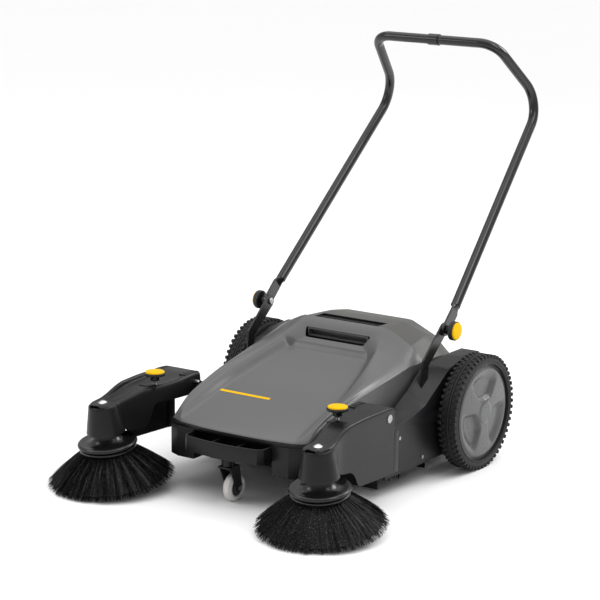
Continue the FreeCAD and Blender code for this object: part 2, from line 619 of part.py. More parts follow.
def build_roller():
    """Shaft, hollow core and bristle sleeve of the roller brush, and its bearings in the side frames."""
    def raised(body):
        return at_height(body, "roller_radius", "-roller_setback")

    end = "outer_belt + pulley_width / 2 + 1"
    shaft = [(f"-({end})", "0"), (end, "0"), (end, "shaft_radius"), (f"-({end})", "shaft_radius")]
    node("roller_shaft", raised(turned("RollerShaft", shaft)))
    reach = "roller_half_length"
    core = [(f"-{reach}", "shaft_radius"), (reach, "shaft_radius"), (reach, "core_radius"),
            (f"-{reach}", "core_radius")]
    node("roller_core", raised(turned("RollerCore", core)))
    bristles = [(f"-{reach} + 2", "core_radius"), (f"{reach} - 2", "core_radius"),
                (f"{reach} - 2", "roller_radius"), (f"-{reach} + 2", "roller_radius")]
    node("roller_bristles", raised(turned("RollerBristles", bristles)))
    bearing = [("pod_inner - 1", "shaft_radius + running_clearance"),
               ("cavity_inner + 5", "shaft_radius + running_clearance"),
               ("cavity_inner + 5", "shaft_radius + 14"),
               ("cavity_inner", "shaft_radius + 14"), ("cavity_inner", "shaft_radius + bearing_wall + 2"),
               ("pod_inner - 1", "shaft_radius + bearing_wall + 2")]
    node_both("roller_bearings", raised(turned("RollerBearing", bearing)))


# ---------------------------------------------------------------- side brush arms

def brush_placement():
    """Where a right-hand side brush stands: its lowest bristle tip just reaches the floor."""
    tilt, heading = math.radians(size("brush_tilt")), math.radians(size("tilt_heading"))
    lean = Vector(math.sin(heading), -math.cos(heading), 0)
    centre = Vector(size("brush_side"), -size("brush_front"), size("brush_radius") * math.sin(tilt))
    return Placement(centre, Rotation(Vector(0, 0, 1), lean * math.sin(tilt) + Vector(0, 0, math.cos(tilt))))


def stood(body):
    """Stand a turned piece on the side brush's tilted axis."""
    body.Placement = brush_placement()
    return body


def build_side_brushes():
    """Flared disc, bristle ring, spindle with its cap nut, and spindle pulley."""
    disc = [("spindle_radius", "disc_height - 14"), ("disc_radius - 5", "disc_height - 14"),
            ("disc_radius - 3", "disc_height - 9"), ("disc_radius - 8", "disc_height - 6"),
            ("disc_radius - 2", "disc_height - 5"), ("disc_radius", "disc_height"),
            ("disc_radius - 3", "disc_height + rim_thickness / 2"),
            ("disc_radius - 20", "disc_height + rim_thickness / 2 + 1"),
            ("neck_radius + 8", "disc_height + rim_thickness / 2 + 4"),
            ("neck_radius + 2", "disc_height + rim_thickness + 4"), ("neck_radius", "dome_base - 4"),
            ("spindle_radius", "dome_base - 4")]
    node_pair("brush_disc", stood(turned("BrushDisc", disc, upright=True)))
    bristles = [("bristle_root_radius - 22", "disc_height - 14"), ("bristle_root_radius", "disc_height - 14"),
                ("bristle_root_radius + 3", "disc_height - 24"), ("brush_radius", "0"),
                ("brush_radius - 42", "0")]
    node_pair("brush_bristles", stood(turned("BrushBristles", bristles, upright=True)))
    spindle = [("0", "disc_height - 20"), ("spindle_radius + 6", "disc_height - 20"),
               ("spindle_radius + 6", "disc_height - 14"), ("spindle_radius", "disc_height - 14"),
               ("spindle_radius", "dome_top + 0.5"), ("spindle_radius + 3", "dome_top + 0.5"),
               ("spindle_radius + 3", "dome_top + 5"), ("spindle_radius - 2", "dome_top + 8"),
               ("0", "dome_top + 9")]
    node_pair("spindle", stood(turned("Spindle", spindle, upright=True)))
    low = "spindle_pulley_height - pulley_width / 2"
    high = "spindle_pulley_height + pulley_width / 2"
    crest = "spindle_groove + flange_rise"
    pulley = [("spindle_radius", low), (crest, low), (crest, f"{low} + flange_width"),
              ("spindle_groove", f"{low} + flange_width"), ("spindle_groove", f"{high} - flange_width"),
              (crest, f"{high} - flange_width"), (crest, high), ("spindle_radius", high)]
    node_pair("spindle_pulley", stood(turned("SpindlePulley", pulley, upright=True)))


def tangent_spot(centre, radius, target, axis, side):
    """Where a line from a far point touches a circle, seen along the circle's axis."""
    apart = target - centre
    flat = apart - axis * apart.dot(axis)
    opening = math.acos(radius / flat.Length)
    flat.normalize()
    across = axis.cross(flat) * (side * radius * math.sin(opening))
    return centre + flat * (radius * math.cos(opening)) + across


def half_hoop(centre, axis, start, end, thickness):
    """The part of a round belt that wraps a pulley on the side away from its straight runs."""
    first, last = start - centre, end - centre
    turn = math.atan2(axis.dot(first.cross(last)), first.dot(last))
    turn = turn if turn > 0 else turn + 2 * math.pi
    section_circle = Part.Circle(start, axis.cross(first), thickness).toShape()
    face = Part.Face(Part.Wire([section_circle]))
    return face.revolve(centre, axis, math.degrees(turn))


def build_arm_belt():
    """The round belt inside the arm, a quarter turn twisted between the hinge and the spindle pulleys."""
    thickness = size("cord_radius")
    hinge = Vector(size("arm_belt"), -size("hinge_front"), size("hinge_height"))
    hinge_axis = Vector(1, 0, 0)
    stand = brush_placement()
    spindle = stand.multVec(Vector(0, 0, size("spindle_pulley_height")))
    spindle_axis = stand.Rotation.multVec(Vector(0, 0, 1))
    hinge_radius = size("hinge_groove + belt_gap") + thickness
    spindle_radius = size("spindle_groove + belt_gap") + thickness
    runs = []
    for side in (1, -1):
        near, far = Vector(hinge), Vector(spindle)
        for _ in range(12):
            near = tangent_spot(hinge, hinge_radius, far, hinge_axis, -side)
            far = tangent_spot(spindle, spindle_radius, near, spindle_axis, side)
        runs.append((near, far))
    solids = []
    for near, far in runs:
        solids.append(Part.makeCylinder(thickness, (far - near).Length, near, far - near))
        solids += [Part.makeSphere(thickness * 1.08, spot) for spot in (near, far)]
    (upper_near, outer_far), (lower_near, inner_far) = runs
    solids.append(half_hoop(hinge, hinge_axis, lower_near, upper_near, thickness))
    solids.append(half_hoop(spindle, spindle_axis, inner_far, outer_far, thickness))
    return solids[0].multiFuse(solids[1:])


def arm_blank(name, top_drop="0", side_step="0", open_by="0"):
    """The arm's outer shape: its side view cut to its plan view."""
    top = f"arm_top - ({top_drop})"
    front = "-brush_front"
    side_view = [(f"{front} + 5", f"{top} - arm_nose_drop"), (f"{front} + 30", f"{top} - 18"),
                 (f"{front} + 71", f"{top} - 4"),
                 (f"{front} + 133", top), ("-hinge_front - 11", top),
                 (f"-arm_rear + {open_by}", f"{top} - 7"),
                 (f"-arm_rear + {open_by}", f"arm_step - {open_by}"),
                 (f"-arm_rear - 20 + {open_by}", f"arm_skirt - {open_by}"),
                 (f"-arm_rear - 20 + {open_by}", f"arm_foot + 11 - {open_by}"),
                 (f"-arm_rear - 48 + {open_by}", f"arm_foot - {open_by}"),
                 (f"{front} + 115", f"arm_foot + 7 - {open_by}"),
                 (f"{front} + 105", f"arm_chin - 20 - {open_by}"),
                 (f"{front} + 82", f"arm_chin - 6 - {open_by}"), (f"{front} + 5", f"arm_chin - {open_by}")]
    outer, inner = f"arm_outer - ({side_step})", f"({side_step})"
    plan_view = [(outer, f"{front} - 10"), (outer, f"-arm_rear + {open_by}"),
                 (f"arm_inner + {inner}", f"-arm_rear + {open_by}"), (f"arm_inner + {inner}", "-hinge_front"),
                 (f"arm_inner + 25 + {inner}", f"{front} + 117"),
                 (f"brush_side - 36 + {inner}", f"{front} + 5"),
                 (f"brush_side - 20 + {inner}", f"{front} - 10")]
    return shared(name, [slab(f"{name}Side", side_view, "YZ_Plane", "arm_inner - 5", "arm_outer + 5"),
                         slab(f"{name}Plan", plan_view, "XY_Plane", "40", "arm_top + 5")])


def dome(name, inset, low, high):
    """The round front end of an arm, on the side brush's axis."""
    outline = [("0", low), (f"dome_base_radius - ({inset})", low),
               (f"dome_top_radius - ({inset})", f"{high} - 6"),
               (f"dome_top_radius - ({inset}) - 6", high), ("0", high)]
    return stood(turned(name, outline, upright=True))


def build_arms():
    """Arm covers with their round front ends, hinge bolts, belts and height knobs."""
    outside = joined("ArmOutside", [arm_blank("ArmBlank"), dome("DomeOutside", "0", "dome_base", "dome_top")])
    inside = joined("ArmInside", [arm_blank("ArmRoom", "wall", "wall", "arm_room_opening"),
                                  dome("DomeInside", "wall", "dome_base - 8", "dome_top - 9")])
    notch = block("RearNotch", ("frame_half_width + 8", "-hinge_front + 22", "185"),
                  ("arm_outer + 6", "-arm_rear + 5", "arm_top + 5"))
    gate = block("InnerGate", ("arm_inner - 6", "-brush_front + 97", "40"),
                 ("arm_inner + 23", "-arm_rear + 5", "195"))
    hollow = cut("ArmHollow", outside, group("ArmTools", [inside, notch, gate]))
    pad = block("KnobPad", ("arm_knob_side - 20", "-arm_knob_front - 16", "arm_top - wall"),
                ("arm_knob_side + 20", "-arm_knob_front + 16", "knob_seat"))
    ear = rod("HingeBoss", "tongue_radius - 3", ("arm_outer - 12", "-hinge_front", "hinge_height"), "13")
    bolt_bore = rod("BoltBore", "hinge_bolt_radius", ("arm_inner - 5", "-hinge_front", "hinge_height"),
                    "arm_outer - arm_inner + 10")
    stud_bore = rod("StudBore", "stud_radius + running_clearance",
                    ("arm_knob_side", "-arm_knob_front", "arm_top - 30"),
                    "40", "z")
    spindle_bore = stood(turned("SpindleBore", [("0", "dome_top - 20"), ("spindle_radius + running_clearance",
                         "dome_top - 20"), ("spindle_radius + running_clearance", "dome_top + 5"),
                         ("0", "dome_top + 5")], upright=True))
    arm = cut("Arm", joined("ArmSolid", [hollow, pad, ear]),
              group("ArmBores", [bolt_bore, stud_bore, spindle_bore]))
    node_pair("arm_cover", arm)
    bolt = [("arm_inner", "0"), ("arm_inner", "hinge_bolt_radius"), ("arm_outer + 1", "hinge_bolt_radius"),
            ("arm_outer + 1", "hinge_bolt_radius + 4"), ("arm_outer + 4", "hinge_bolt_radius + 4"),
            ("arm_outer + 4", "0")]
    node_pair("hinge_bolt", at_height(turned("HingeBolt", bolt), "hinge_height", "-hinge_front"))
    node_pair("side_belt", fixed("SideBelt", build_arm_belt()))
    stud_tip, seat = "knob_seat - 18", "knob_seat + 1"
    rim_low = f"{seat} + knob_neck_height - 1"
    rim_high = f"{rim_low} + knob_rim_height"
    knob = [("0", stud_tip), ("stud_radius", stud_tip), ("stud_radius", seat), ("knob_neck_radius", seat),
            ("knob_neck_radius", rim_low), ("knob_rim_radius - 2", rim_low),
            ("knob_rim_radius", f"{rim_low} + 3"),
            ("knob_rim_radius", rim_high), ("0", rim_high)]
    cap = [("0", rim_high), ("knob_cap_radius", rim_high),
           ("knob_cap_radius", f"{rim_high} + knob_cap_height - 1"),
           ("knob_cap_radius - 2", f"{rim_high} + knob_cap_height"), ("0", f"{rim_high} + knob_cap_height")]
    for label, outline in (("arm_knob", knob), ("arm_knob_cap", cap)):
        piece = turned(label.title().replace("_", ""), outline, upright=True)
        piece.setExpression("Placement.Base.x", bound("arm_knob_side"))
        piece.setExpression("Placement.Base.y", bound("-arm_knob_front"))
        node_pair(label, piece)


# ---------------------------------------------------------------- caster

def build_caster():
    """Swivelling front caster under the tray."""
    plate_base = "tray_base - caster_plate_thickness"
    axle_y = "-caster_setback + caster_trail"
    top = f"{plate_base} - crown_drop"
    plate = block("CasterPlate", ("-32", "-caster_setback - 30", plate_base),
                  ("32", "-caster_setback + 30", "tray_base"))
    swivel = rod("CasterSwivel", "swivel_radius", ("0", "-caster_setback", f"{top} + 2 * part_gap"),
                 f"tray_base - ({top}) - 2 * part_gap", "z")
    bore = rod("CasterPlateBore", "stem_radius + running_clearance",
               ("0", "-caster_setback", f"{top} - 5"), "caster_plate_thickness + crown_drop + 10", "z")
    node("caster_plate", cut("CasterPlateBored", joined("CasterHousing", [plate, swivel]), bore))
    half, cheek = "caster_width / 2 + 2", "caster_width / 2 + 2 + fork_wall"
    crown = block("ForkCrown", (f"-({cheek})", "-caster_setback - 18", f"{top} - fork_wall - 1"),
                  (cheek, "-caster_setback + 24", top))
    side = [("-caster_setback - 16", top), ("-caster_setback + 24", top),
            (f"{axle_y} + 9", "caster_radius + 6"),
            (f"{axle_y} + 9", "caster_radius - 9"), (f"{axle_y} - 9", "caster_radius - 9"),
            ("-caster_setback - 6", f"{top} - 20")]
    right = slab("ForkCheek", side, "YZ_Plane", half, cheek)
    stem = rod("ForkStem", "stem_radius", ("0", "-caster_setback", f"{top} - 2"),
               f"tray_base - part_gap - ({top}) + 2", "z")
    fork = joined("ForkSolid", [crown, right, mirrored("ForkCheekTwin", right), stem])
    hole = rod("ForkBore", "caster_axle_radius", (f"-({cheek}) - 1", axle_y, "caster_radius"),
               f"2 * ({cheek}) + 2")
    node("caster_fork", cut("Fork", fork, hole))
    axle = [(f"-({cheek}) - 3", "0"), (f"-({cheek}) - 3", "caster_axle_radius + 2.5"),
            (f"-({cheek})", "caster_axle_radius + 2.5"), (f"-({cheek})", "caster_axle_radius"),
            (cheek, "caster_axle_radius"), (cheek, "caster_axle_radius + 2.5"),
            (f"{cheek} + 3", "caster_axle_radius + 2.5"), (f"{cheek} + 3", "0")]
    node("caster_axle", at_height(turned("CasterAxle", axle), "caster_radius", axle_y))
    reach = "caster_width / 2"
    bore_radius = "caster_axle_radius + running_clearance"
    hub = [(f"-{reach} - 1", bore_radius), (f"{reach} + 1", bore_radius),
           (f"{reach} + 1", "caster_radius * 0.3"),
           (f"{reach} - 3", "caster_radius * 0.36"), (f"{reach} - 3", "caster_radius * 0.62"),
           (f"-{reach} + 3", "caster_radius * 0.62"), (f"-{reach} + 3", "caster_radius * 0.36"),
           (f"-{reach} - 1", "caster_radius * 0.3")]
    node("caster_hub", at_height(turned("CasterHub", hub), "caster_radius", axle_y))
    tyre = [(f"-{reach} + 3", "caster_radius * 0.62"), (f"{reach} - 3", "caster_radius * 0.62"),
            (reach, "caster_radius * 0.7"), (reach, "caster_radius - 6"), (f"{reach} - 5", "caster_radius"),
            (f"-{reach} + 5", "caster_radius"), (f"-{reach}", "caster_radius - 6"),
            (f"-{reach}", "caster_radius * 0.7")]
    node("caster_tyre", at_height(turned("CasterTyre", tyre), "caster_radius", axle_y))


# ---------------------------------------------------------------- handle

def bent_route(corners, bends):
    """A wire of straight runs joined by tangent arcs."""
    edges, start = [], corners[0]
    for at, bend in enumerate(bends, start=1):
        before, after = corners[at - 1] - corners[at], corners[at + 1] - corners[at]
        before.normalize()
        after.normalize()
        half_angle = before.getAngle(after) / 2
        reach = bend / math.tan(half_angle)
        entry, leave = corners[at] + before * reach, corners[at] + after * reach
        middle = before + after
        middle.normalize()
        crown = corners[at] + middle * (bend / math.sin(half_angle) - bend)
        edges += [Part.LineSegment(start, entry).toShape(), Part.Arc(entry, crown, leave).toShape()]
        start = leave
    edges.append(Part.LineSegment(start, corners[-1]).toShape())
    return Part.Wire(edges)


def swept(route, radius):
    """A round bar along a route."""
    first = route.Edges[0]
    start = first.valueAt(first.FirstParameter)
    profile = Part.Wire([Part.Circle(start, first.tangentAt(first.FirstParameter), radius).toShape()])
    return route.makePipeShell([profile], True, False)


def handle_tube():
    """One half of the handle: a flattened foot with its bolt hole, a leaning leg and half of the top bar."""
    fold = Vector(size("fold_side + flat_thickness / 2"), -size("fold_front"), size("fold_height"))
    elbow = Vector(size("elbow_side"), size("elbow_rear"), size("elbow_height"))
    corner = Vector(size("bar_side"), size("bar_rear"), size("bar_height"))
    middle = Vector(0, size("bar_rear"), size("bar_height"))
    leg = elbow - fold
    leg.normalize()
    foot_top = fold + leg * size("foot_length")
    route = bent_route([foot_top, elbow, corner, middle], [size("elbow_bend"), size("corner_bend")])
    radius = size("tube_radius")
    tube = swept(route, radius).cut(swept(route, radius - size("tube_wall")))
    thickness, eye = size("flat_thickness"), size("eye_radius")
    level = Vector(0, leg.y, leg.z)
    level.normalize()
    across = Vector(1, 0, 0).cross(level)
    inner_side = Vector(size("fold_side"), fold.y, fold.z)
    flat_top = inner_side + level * size("flat_length")
    plate_corners = [inner_side - across * eye, inner_side + across * eye,
                     flat_top + across * eye, flat_top - across * eye]
    plate = Part.Face(Part.makePolygon(plate_corners + plate_corners[:1])).extrude(Vector(thickness, 0, 0))
    plate = plate.fuse(Part.makeCylinder(eye, thickness, inner_side, Vector(1, 0, 0)))
    flat_end = plate_corners[2:]
    flat_wire = Part.makePolygon([flat_end[1], flat_end[0], flat_end[0] + Vector(thickness, 0, 0),
                                  flat_end[1] + Vector(thickness, 0, 0), flat_end[1]])
    round_wire = Part.Wire([Part.Circle(foot_top + leg * 4, leg, radius - size("tube_wall") / 2).toShape()])
    taper = Part.makeLoft([flat_wire, round_wire], True)
    bolt_hole = Part.makeCylinder(size("clamp_bolt_radius"), 40, inner_side - Vector(20, 0, 0),
                                  Vector(1, 0, 0))
    return tube.fuse([taper, plate]).cut(bolt_hole)


def build_handle():
    """Folding handle: two bent tubes, the sleeve that joins them, clamp bolts and knobs, and the brackets."""
    node_pair("handle_tube", fixed("HandleTube", handle_tube()))
    sleeve = [("-sleeve_half_length", "tube_radius"), ("sleeve_half_length", "tube_radius"),
              ("sleeve_half_length", "tube_radius + sleeve_wall"),
              ("-sleeve_half_length", "tube_radius + sleeve_wall")]
    node("handle_sleeve", at_height(turned("HandleSleeve", sleeve), "bar_height", "bar_rear"))
    bracket_inner = "fold_side - part_gap - bracket_thickness"
    bracket_outer = "fold_side - part_gap"
    head = "clamp_bolt_radius + 4"
    bolt = [(f"{bracket_inner} - 5", "0"), (f"{bracket_inner} - 5", f"{head} - 2"),
            (f"{bracket_inner} - 3", head),
            (f"{bracket_inner} - part_gap", head), (f"{bracket_inner} - part_gap", "clamp_bolt_radius"),
            ("flat_outer + 12", "clamp_bolt_radius"), ("flat_outer + 12", "0")]
    node_both("handle_bolts", at_height(turned("ClampBolt", bolt), "fold_height", "-fold_front"))
    low = "flat_outer + part_gap"
    bore = "clamp_bolt_radius + running_clearance"
    knob = [(low, bore), (low, "clamp_knob_radius - 12"), (f"{low} + 12", "clamp_knob_radius - 8"),
            (f"{low} + 14", "clamp_knob_radius"), (f"{low} + clamp_knob_length - 6", "clamp_knob_radius"),
            (f"{low} + clamp_knob_length - 6", "0"), (f"{low} + 14", "0"), (f"{low} + 14", bore)]
    cap = [(f"{low} + clamp_knob_length - 6", "0"),
           (f"{low} + clamp_knob_length - 6", "clamp_knob_radius - 1"),
           (f"{low} + clamp_knob_length - 1.5", "clamp_knob_radius - 1"),
           (f"{low} + clamp_knob_length", "clamp_knob_radius - 3"), (f"{low} + clamp_knob_length", "0")]
    node_pair("handle_knob", at_height(turned("HandleKnob", knob), "fold_height", "-fold_front"))
    node_pair("handle_knob_cap", at_height(turned("HandleKnobCap", cap), "fold_height", "-fold_front"))
    outline = [("-fold_front - 11", "fold_height + 12"), ("-fold_front + 11", "fold_height - 12"),
               ("-fold_front - 71", "fold_height - 78"), ("-fold_front - 76", "strip_height + 20"),
               ("-fold_front - 106", "strip_height + 20"), ("-fold_front - 96", "fold_height - 62")]
    bar = slab("BracketBar", outline, "YZ_Plane", bracket_inner, bracket_outer)
    eye = rod("BracketEye", "eye_radius", (bracket_inner, "-fold_front", "fold_height"), "bracket_thickness")
    hole = rod("BracketHole", "clamp_bolt_radius + running_clearance",
               (f"{bracket_inner} - 5", "-fold_front", "fold_height"), "bracket_thickness + 10")
    trim = group("BracketTrim", [pod_solid("BracketPod"), hole])
    node_both("handle_brackets", cut("Bracket", joined("BracketSolid", [bar, eye]), trim))


def build_screws():
    """Visible screws: on the deck's rim beside the hood and on the side frames' outer faces."""
    places = [("-pod_front + 30", "ground_clearance + 22"), ("-pod_front + 60", "strip_height - 34"),
              ("-roller_setback + 20", "ground_clearance + 18")]
    heads = [rod(f"FrameScrew{at}", "screw_radius", ("frame_half_width", along, height), "screw_height")
             for at, (along, height) in enumerate(places)]
    node_both("frame_screws", group("FrameScrews", heads))


def build_all():
    """Build every sub-part."""
    fill_sheet()
    build_side_frames()
    build_axles()
    build_tunnel()
    build_bumper()
    build_hood()
    build_container()
    build_wheels()
    build_pulleys()
    build_belts()
    build_roller()
    build_side_brushes()
    build_arms()
    build_caster()
    build_handle()
    build_screws()
    DOCUMENT.recompute()


def check_all():
    """Stop if any object failed, or any sub-part's shape is empty or not valid."""
    for item in DOCUMENT.Objects:
        if {"Invalid", "Error"} & set(item.State):
            raise RuntimeError(f"{item.Label} failed: {item.State}")
    for label, piece in NODES.items():
        if piece.Shape.isNull() or not piece.Shape.isValid() or not piece.Shape.Solids:
            raise RuntimeError(f"{label} has no valid solid")


def export_all():
    """Write each sub-part to its own file."""
    os.makedirs("parts", exist_ok=True)
    for label, piece in NODES.items():
        piece.Shape.exportStep(f"parts/{label}.step")


build_all()
check_all()
export_all()
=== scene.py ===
"""Looks of a walk-behind sweeper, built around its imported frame.

Every piece is in metres in the frame's own coordinates: the floor is z = 0, the machine faces -Y.
"""

import json
import logging
import math
import random
from dataclasses import dataclass, field
from enum import Enum
from typing import Callable, Iterable, Sequence

import bpy
import numpy as np
from mathutils import Matrix, Vector

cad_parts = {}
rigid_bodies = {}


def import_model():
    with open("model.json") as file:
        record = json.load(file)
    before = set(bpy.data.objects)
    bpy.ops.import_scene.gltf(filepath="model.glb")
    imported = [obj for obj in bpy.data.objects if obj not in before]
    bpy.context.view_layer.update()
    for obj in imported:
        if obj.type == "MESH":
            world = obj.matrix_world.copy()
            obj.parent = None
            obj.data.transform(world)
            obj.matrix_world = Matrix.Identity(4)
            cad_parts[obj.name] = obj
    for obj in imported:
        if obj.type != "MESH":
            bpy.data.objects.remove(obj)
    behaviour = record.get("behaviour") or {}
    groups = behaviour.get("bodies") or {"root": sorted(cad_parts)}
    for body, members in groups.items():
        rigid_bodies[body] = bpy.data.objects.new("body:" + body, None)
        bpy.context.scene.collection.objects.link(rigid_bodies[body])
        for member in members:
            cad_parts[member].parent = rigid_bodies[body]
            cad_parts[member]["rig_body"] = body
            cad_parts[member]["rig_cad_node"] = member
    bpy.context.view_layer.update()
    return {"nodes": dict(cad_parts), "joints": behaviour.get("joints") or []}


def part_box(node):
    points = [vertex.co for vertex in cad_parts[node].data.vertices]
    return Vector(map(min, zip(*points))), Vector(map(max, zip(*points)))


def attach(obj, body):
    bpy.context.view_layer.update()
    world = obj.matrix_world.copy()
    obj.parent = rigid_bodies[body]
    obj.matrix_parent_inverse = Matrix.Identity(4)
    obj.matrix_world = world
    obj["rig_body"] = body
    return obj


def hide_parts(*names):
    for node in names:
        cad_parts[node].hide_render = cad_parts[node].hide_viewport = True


log = logging.getLogger("sweeper")
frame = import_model()
Colour = tuple[float, float, float]
Piece = bpy.types.Object


class Side(Enum):
    """One side of the machine."""

    RIGHT = 1
    LEFT = -1

    @property
    def label(self) -> str:
        """The side's word in node and body names."""
        return self.name.lower()


# ------------------------------------------------------------------ finishes


@dataclass(frozen=True)
class Finish:
    """A surface with uneven colour, uneven gloss and a fine grain.

    Attributes:
        name: material name.
        colour: main colour, linear.
        shade: second colour that the first one drifts towards.
        roughness: lowest and highest roughness.
        drift_scale: size of the colour drift, as a noise scale per metre.
        grain_scale: size of the grain, as a noise scale per metre.
        grain_height: height of the grain in metres.
        metallic: 1 for bare metal.
        shine: specular level.
    """

    name: str
    colour: Colour
    shade: Colour
    roughness: tuple[float, float] = (0.4, 0.5)
    drift_scale: float = 6.0
    grain_scale: float = 900.0
    grain_height: float = 0.00004
    metallic: float = 0.0
    shine: float = 0.5

    def material(self) -> bpy.types.Material:
        """Return the finish's material, made on first use."""
        found = bpy.data.materials.get(f"{self.name}_finish")
        return found if found else self.make()

    def make(self) -> bpy.types.Material:
        """Build the node tree."""
        material = bpy.data.materials.new(f"{self.name}_finish")
        material.use_nodes = True
        nodes, links = material.node_tree.nodes, material.node_tree.links
        shader = nodes["Principled BSDF"]
        shader.inputs["Metallic"].default_value = self.metallic
        shader.inputs["Specular IOR Level"].default_value = self.shine
        place = nodes.new("ShaderNodeTexCoord")
        drift = self.noise(nodes, links, place, self.drift_scale, 4.0)
        mix = nodes.new("ShaderNodeMix")
        mix.data_type = "RGBA"
        mix.inputs["A"].default_value = (*self.colour, 1.0)
        mix.inputs["B"].default_value = (*self.shade, 1.0)
        links.new(drift.outputs["Fac"], mix.inputs["Factor"])
        links.new(mix.outputs["Result"], shader.inputs["Base Color"])
        gloss = nodes.new("ShaderNodeMapRange")
        gloss.inputs["To Min"].default_value, gloss.inputs["To Max"].default_value = self.roughness
        patch = self.noise(nodes, links, place, self.drift_scale * 9.0, 3.0)
        links.new(patch.outputs["Fac"], gloss.inputs["Value"])
        links.new(gloss.outputs["Result"], shader.inputs["Roughness"])
        grain = self.noise(nodes, links, place, self.grain_scale, 2.0)
        bump = nodes.new("ShaderNodeBump")
        bump.inputs["Distance"].default_value = self.grain_height
        links.new(grain.outputs["Fac"], bump.inputs["Height"])
        links.new(bump.outputs["Normal"], shader.inputs["Normal"])
        self.add_detail(nodes, links, place, shader, mix)
        return material

    def add_detail(self, nodes, links, place, shader, mix) -> None:
        """Hook for finishes with more than drift and grain."""

    @staticmethod
    def noise(nodes, links, place, scale: float, detail: float):
        """Add a noise texture that reads object coordinates."""
        texture = nodes.new("ShaderNodeTexNoise")
        texture.inputs["Scale"].default_value = scale
        texture.inputs["Detail"].default_value = detail
        links.new(place.outputs["Object"], texture.inputs["Vector"])
        return texture


@dataclass(frozen=True)
class BristleFinish(Finish):
    """Plastic bristles with painted glints: single strands are lightened as painted highlights."""

    strand_scale: float = 420.0
    # painted highlight colour that single strands are lightened towards
    glint: Colour = (0.09, 0.09, 0.09)

    def add_detail(self, nodes, links, place, shader, mix) -> None:
        """Paint glints: lighten single strands towards a painted highlight colour."""
        strands = self.noise(nodes, links, place, self.strand_scale, 1.0)
        glint_mask = nodes.new("ShaderNodeMapRange")
        glint_mask.inputs["From Min"].default_value = 0.58
        glint_mask.inputs["From Max"].default_value = 0.74
        links.new(strands.outputs["Fac"], glint_mask.inputs["Value"])
        # painted glints: lighten the strands that the mask picks towards the painted highlight colour
        light = nodes.new("ShaderNodeMix")
        light.data_type = "RGBA"
        light.inputs["B"].default_value = (*self.glint, 1.0)
        links.new(mix.outputs["Result"], light.inputs["A"])
        links.new(glint_mask.outputs["Result"], light.inputs["Factor"])
        links.new(light.outputs["Result"], shader.inputs["Base Color"])


HOOD_GREY = Finish(
    "hood_grey", (0.080, 0.081, 0.080), (0.074, 0.075, 0.074), (0.26, 0.34), 4.0, 1100.0, 0.00003,
)
HUB_GREY = Finish(
    "hub_grey", (0.070, 0.071, 0.071), (0.063, 0.064, 0.064), (0.24, 0.34), 8.0, 1100.0, 0.00003,
)
TUB_GREY = Finish(
    "tub_grey", (0.062, 0.061, 0.056), (0.054, 0.053, 0.048), (0.36, 0.48), 5.0, 1000.0, 0.00004,
)
FRAME_BLACK = Finish(
    "frame_black", (0.0045, 0.0045, 0.0052), (0.0065, 0.0065, 0.0075), (0.30, 0.42), 7.0, 900.0, 0.00005,
    shine=0.26,
)
GLOSS_BLACK = Finish(
    "gloss_black", (0.0055, 0.0055, 0.0060), (0.0080, 0.0080, 0.0085), (0.20, 0.30), 9.0, 600.0, 0.00001,
    shine=0.4,
)
TUBE_BLACK = Finish(
    "tube_black", (0.0050, 0.0050, 0.0052), (0.0075, 0.0075, 0.0075), (0.16, 0.26), 12.0, 260.0, 0.00003,
    shine=0.5,
)
RUBBER = Finish(
    "rubber", (0.0075, 0.0075, 0.0085), (0.0130, 0.0125, 0.0120), (0.50, 0.66), 14.0, 700.0, 0.00008,
    shine=0.35,
)
CAP_YELLOW = Finish(
    "cap_yellow", (0.78, 0.46, 0.001), (0.74, 0.42, 0.001), (0.34, 0.44), 20.0, 900.0, 0.00002, shine=0.05,
)
STEEL = Finish(
    "steel", (0.40, 0.40, 0.40), (0.30, 0.30, 0.30), (0.22, 0.36), 40.0, 500.0, 0.00002, metallic=1.0,
)
CHROME = Finish(
    "chrome", (0.80, 0.80, 0.80), (0.72, 0.72, 0.72), (0.06, 0.14), 40.0, 500.0, 0.00001, metallic=1.0,
)
TYRE_WHITE = Finish("tyre_white", (0.62, 0.61, 0.60), (0.54, 0.53, 0.52), (0.42, 0.55), 30.0, 800.0, 0.00003)
PULLEY = Finish(
    "pulley_plastic", (0.020, 0.020, 0.021), (0.032, 0.032, 0.032), (0.42, 0.5), 30.0, 800.0, 0.00003,
)
# bristle colour; its strands also carry painted glints, painted highlights mixed into the colour
BRISTLE = BristleFinish(
    "bristle", (0.0030, 0.0030, 0.0034), (0.0060, 0.0060, 0.0064), (0.30, 0.44), 60.0, 1500.0, 0.00001,
    shine=0.10,
)
FLOOR = Finish(
    "pale_floor", (0.90, 0.90, 0.90), (0.89, 0.89, 0.89), (0.60, 0.70), 1.0, 300.0, 0.00002, shine=0.2,
)


# ------------------------------------------------------------------ shop tools


def deselect() -> None:
    """Leave edit mode and select nothing."""
    if bpy.context.object and bpy.context.object.mode != "OBJECT":
        bpy.ops.object.mode_set(mode="OBJECT")
    bpy.ops.object.select_all(action="DESELECT")


def pick(piece: Piece) -> Piece:
    """Make one piece the only selected and the active object."""
    deselect()
    piece.select_set(True)
    bpy.context.view_layer.objects.active = piece
    return piece


def choose_faces(piece: Piece, test: Callable[[bpy.types.MeshPolygon], bool]) -> None:
    """Select only the faces that pass a test, and enter edit mode."""
    pick(piece)
    bpy.ops.object.mode_set(mode="EDIT")
    bpy.ops.mesh.select_mode(type="FACE")
    bpy.ops.mesh.select_all(action="DESELECT")
    bpy.ops.object.mode_set(mode="OBJECT")
    for face in piece.data.polygons:
        face.select = test(face)
    bpy.ops.object.mode_set(mode="EDIT")


def settle(piece: Piece) -> None:
    """Put the piece's place into its mesh, so that the object sits at the origin."""
    pick(piece)
    bpy.ops.object.transform_apply(location=True, rotation=True, scale=True)


